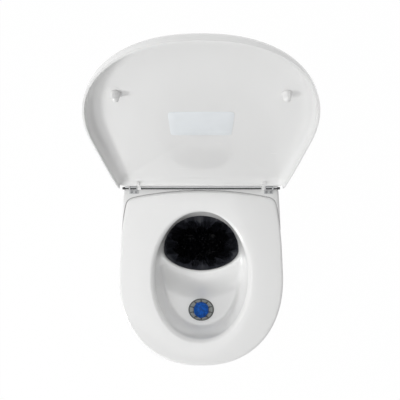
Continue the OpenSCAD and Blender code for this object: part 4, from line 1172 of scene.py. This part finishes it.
class BuildContainers(Builder):
    """Build the solids container and the urine container, and dress their ring, guide and float"""

    bl_idname = "toilet.containers"
    bl_label = "Containers"

    def execute(self, context):
        form = self.form()
        grey = moulding("container_grey", shade(self.tint("grey"), 1.6), 0.36, 0.1, 700.0, 0.00008, 0.08)
        dress(self.bin(form), grey, "plastic_grey", "bin", "solids_container")
        dress(self.can(form), milky("can_milky", self.tint("can")), "plastic_pale", "can", "urine_container")
        dress_nodes(grey, "bag_ring", "float_guide")
        dress_nodes(moulding("float_blue", self.tint("block"), 0.3, 0.2), "level_float")
        return {"FINISHED"}

    def bin(self, form):
        """Container from foot to turned-out rim: a rounded foot, drawn sides and a flare."""
        s = form.s
        low, top = s.tray_t + REST_GAP, s.seat_h - s.bin_drop - s.bin_wall
        flare_h, flare_r = 0.006, 0.0024
        w = np.linspace(0, 1, 20)[1:]
        profile = foot_round(BIN_ROUND, BIN_ROUND, low, 12)
        profile += zip(BIN_ROUND * (1 - w), low + BIN_ROUND + (top - flare_h - low - BIN_ROUND) * w)
        profile += top_round(-flare_r, flare_h, top, 8)[1:] + [(-BIN_FLARE, top)]
        grid = np.array(form.rings(form.inset(form.bin_r, -s.bin_wall), form.bin_y, profile))
        return shell("container_moulding", grid, s.bin_wall, close_first=True)

    def can(self, form):
        """Container with a rounded foot, drawn sides, soft shoulder, neck and a carrying arch over it."""
        s = form.s
        setback, nose, shoulder_h, sunk = 0.0035, 0.001, 0.014, 0.001
        guide_x, guide_r = 0.060, 0.008
        y = form.drain_y - setback
        low, top = s.tray_t + REST_GAP, s.seat_h - s.can_drop
        plan = to_egg(form.t, s.can_w / 2, s.can_l / 2 + nose, s.can_l / 2 - nose, *CAN_POWERS)
        w = np.linspace(0, 1, 14)[1:]
        profile = foot_round(CAN_ROUND, CAN_DRAW, low, 10)
        profile += zip(CAN_DRAW * (1 - w), low + CAN_ROUND + (top - shoulder_h - CAN_ROUND - low) * w)
        profile += top_round(CAN_ROUND, shoulder_h, top, 9, stop=80)[1:]
        rings = form.rings(plan, y, profile + [(CAN_ROUND, top)])
        neck_r = s.neck_d / 2 + s.can_wall
        collar = ((0.003, 0.002), (0.0015, 0.0026), (0.0006, 0.0036), (0, 0.005), (0, 0.012), (0, 0.022))
        neck = [form.ring(np.full_like(form.t, neck_r + r), form.drain_y, top + z) for r, z in collar]
        rings += onward(rings[-1], neck[0], 10) + neck[1:]
        body = shell("can_moulding", np.array(rings), s.can_wall, close_first=True)
        cut(body, bar(guide_x, y, top - PAST, top + PAST, guide_r))
        return join([body, self.arch(form.drain_y + ARCH_R, top - sunk)])

    def arch(self, y, z):
        """Carrying arch: a round bar bent to a half circle in an upright plane, from shoulder to shoulder."""
        u = np.linspace(-0.02, np.pi + 0.02, 60)[:, None]
        w = np.linspace(0, 2 * np.pi, 28, endpoint=False)[None, :]
        out = ARCH_R + ARCH_BAR * np.cos(w)
        across = y + ARCH_BAR * np.sin(w) * np.ones_like(u)
        return capped("arch", np.stack([out * np.cos(u), across, z + out * np.sin(u)], axis=2), outward=False)


class BuildFan(Builder):
    """Dress the fan, its guard and the socket behind it"""

    bl_idname = "toilet.fan"
    bl_label = "Fan and socket"

    def execute(self, context):
        dark = self.tint("rubber")
        dress_nodes(moulding("fan_dark", shade(dark, 1.8), 0.4, 0.05, 800.0, 0.00006, 0.2), "fan_frame")
        dress_nodes(moulding("blade_dark", shade(dark, 1.4), 0.3, 0.15, 800.0, 0.00004, 0.2), "fan_impeller")
        dress_nodes(satin_steel("guard_steel", self.tint("steel"), 0.18), "fan_guard")
        dress_nodes(moulding("socket_dark", shade(dark, 1.6), 0.35, 0.1), "power_inlet")
        return {"FINISHED"}


# Name, place, point aimed at, size and power
LAMPS = (
    ("key", (-1.3, -0.8, 1.0), (0.0, 0.12, 0.6), 0.3, 9.0),
    ("top", (-0.45, 0.1, 2.4), (0.0, 0.0, 0.4), 1.4, 7.0),
    ("back", (0.0, 0.95, 2.1), (0.0, -0.1, 0.4), 0.9, 3.0),
    ("front", (-1.0, -1.5, 1.1), (0.0, 0.15, 0.5), 1.0, 3.9),
)
WHITE = (1.0, 1.0, 1.0)


class BuildStage(Builder):
    """Build the pale floor, the soft studio light and the camera at the photograph's angle"""

    bl_idname = "toilet.stage"
    bl_label = "Floor, light and camera"

    def execute(self, context):
        scene = context.scene
        scene.view_settings.view_transform = "Standard"
        self.world(scene)
        self.floor()
        for lamp in LAMPS:
            self.lamp(*lamp)
        data = bpy.data.cameras.new("camera")
        data.sensor_width = 36.0
        data.sensor_fit = "HORIZONTAL"
        data.lens = 27.108
        data.shift_x = -0.003
        camera = bpy.data.objects.new("camera", data)
        camera.location = (0.0, -0.0071, 1.1255)
        camera.rotation_euler = (np.radians(10.0), 0.0, 0.0)
        scene.collection.objects.link(camera)
        scene.camera = camera
        return {"FINISHED"}

    def lamp(self, name, place, aim, size, power):
        """A square area lamp turned towards a point."""
        data = bpy.data.lights.new(name, "AREA")
        data.size = size
        data.energy = power
        lamp = bpy.data.objects.new(name, data)
        way = np.array(aim) - np.array(place)
        flat = np.hypot(way[0], way[1])
        lamp.rotation_euler = (np.arctan2(flat, -way[2]), 0.0, np.arctan2(way[1], way[0]) - np.pi / 2)
        lamp.location = place
        bpy.context.scene.collection.objects.link(lamp)

    def world(self, scene):
        """White to the camera and in reflections; to everything else a soft light, weaker from the right."""
        scene.world = bpy.data.worlds.new("studio")
        scene.world.use_nodes = True
        sky = Nodes(scene.world.node_tree)
        way = sky.node("ShaderNodeTexCoord", output="Generated")
        soft = 0.45 - 0.18 * sky.value("ShaderNodeSeparateXYZ", "X", Vector=way)
        light = sky.node("ShaderNodeBackground", Color=WHITE, Strength=soft + (1.0 - soft) * sky.seen())
        sky.node("ShaderNodeOutputWorld", Surface=light)

    def floor(self):
        """Flat floor that is white of itself to the camera, but for a hundredth that shows a faint shadow."""
        cells, half, z = 12, 6.0, -0.0005
        u = np.linspace(-half, half, cells + 1)
        x, y = np.meshgrid(u, u, indexing="ij")
        points = np.stack([x, y, np.full_like(x, z)], axis=2)
        corner = np.arange(cells)[:, None] * (cells + 1) + np.arange(cells)
        faces = np.stack([corner, corner + cells + 1, corner + cells + 2, corner + 1], axis=-1)
        floor = mesh_piece("studio_floor", points, faces.reshape(-1, 4).tolist())
        f = Finish("floor_white")
        floor.data.materials.append(f.surface(Base_Color=self.tint("floor"), Roughness=0.8))
        glow = f.node("ShaderNodeEmission", Color=WHITE, Strength=1.0)
        mixed = f.node("ShaderNodeMixShader", Fac=f.seen() * 0.99, _1=f.shader.outputs[0], _2=glow)
        put(f.tree, f.end, mixed)


OPERATORS = (
    BuildSeat, BuildCasing, BuildLid, BuildHinge, BuildDrain, BuildBag, BuildContainers, BuildFan, BuildStage)


class ToiletPanel(bpy.types.Panel):
    """Lists the toilet's pieces in the 3D view's sidebar"""

    bl_label = "Dry toilet"
    bl_idname = "VIEW3D_PT_dry_toilet"
    bl_space_type = "VIEW_3D"
    bl_region_type = "UI"
    bl_category = "Toilet"

    def draw(self, context):
        for kind in OPERATORS:
            self.layout.operator(kind.bl_idname)
        for group in (context.scene.toilet_sizes, context.scene.toilet_colours):
            column = self.layout.column(align=True)
            for name in group.__annotations__:
                column.prop(group, name)


CLASSES = (ToiletSizes, ToiletColours, *OPERATORS, ToiletPanel)


def register():
    for kind in CLASSES:
        bpy.utils.register_class(kind)
    bpy.types.Scene.toilet_sizes = bpy.props.PointerProperty(type=ToiletSizes)
    bpy.types.Scene.toilet_colours = bpy.props.PointerProperty(type=ToiletColours)


def unregister():
    del bpy.types.Scene.toilet_colours
    del bpy.types.Scene.toilet_sizes
    for kind in reversed(CLASSES):
        bpy.utils.unregister_class(kind)


def main():
    register()
    for kind in OPERATORS:
        group, name = kind.bl_idname.split(".")
        getattr(getattr(bpy.ops, group), name)()


if __name__ == "__main__":
    main()
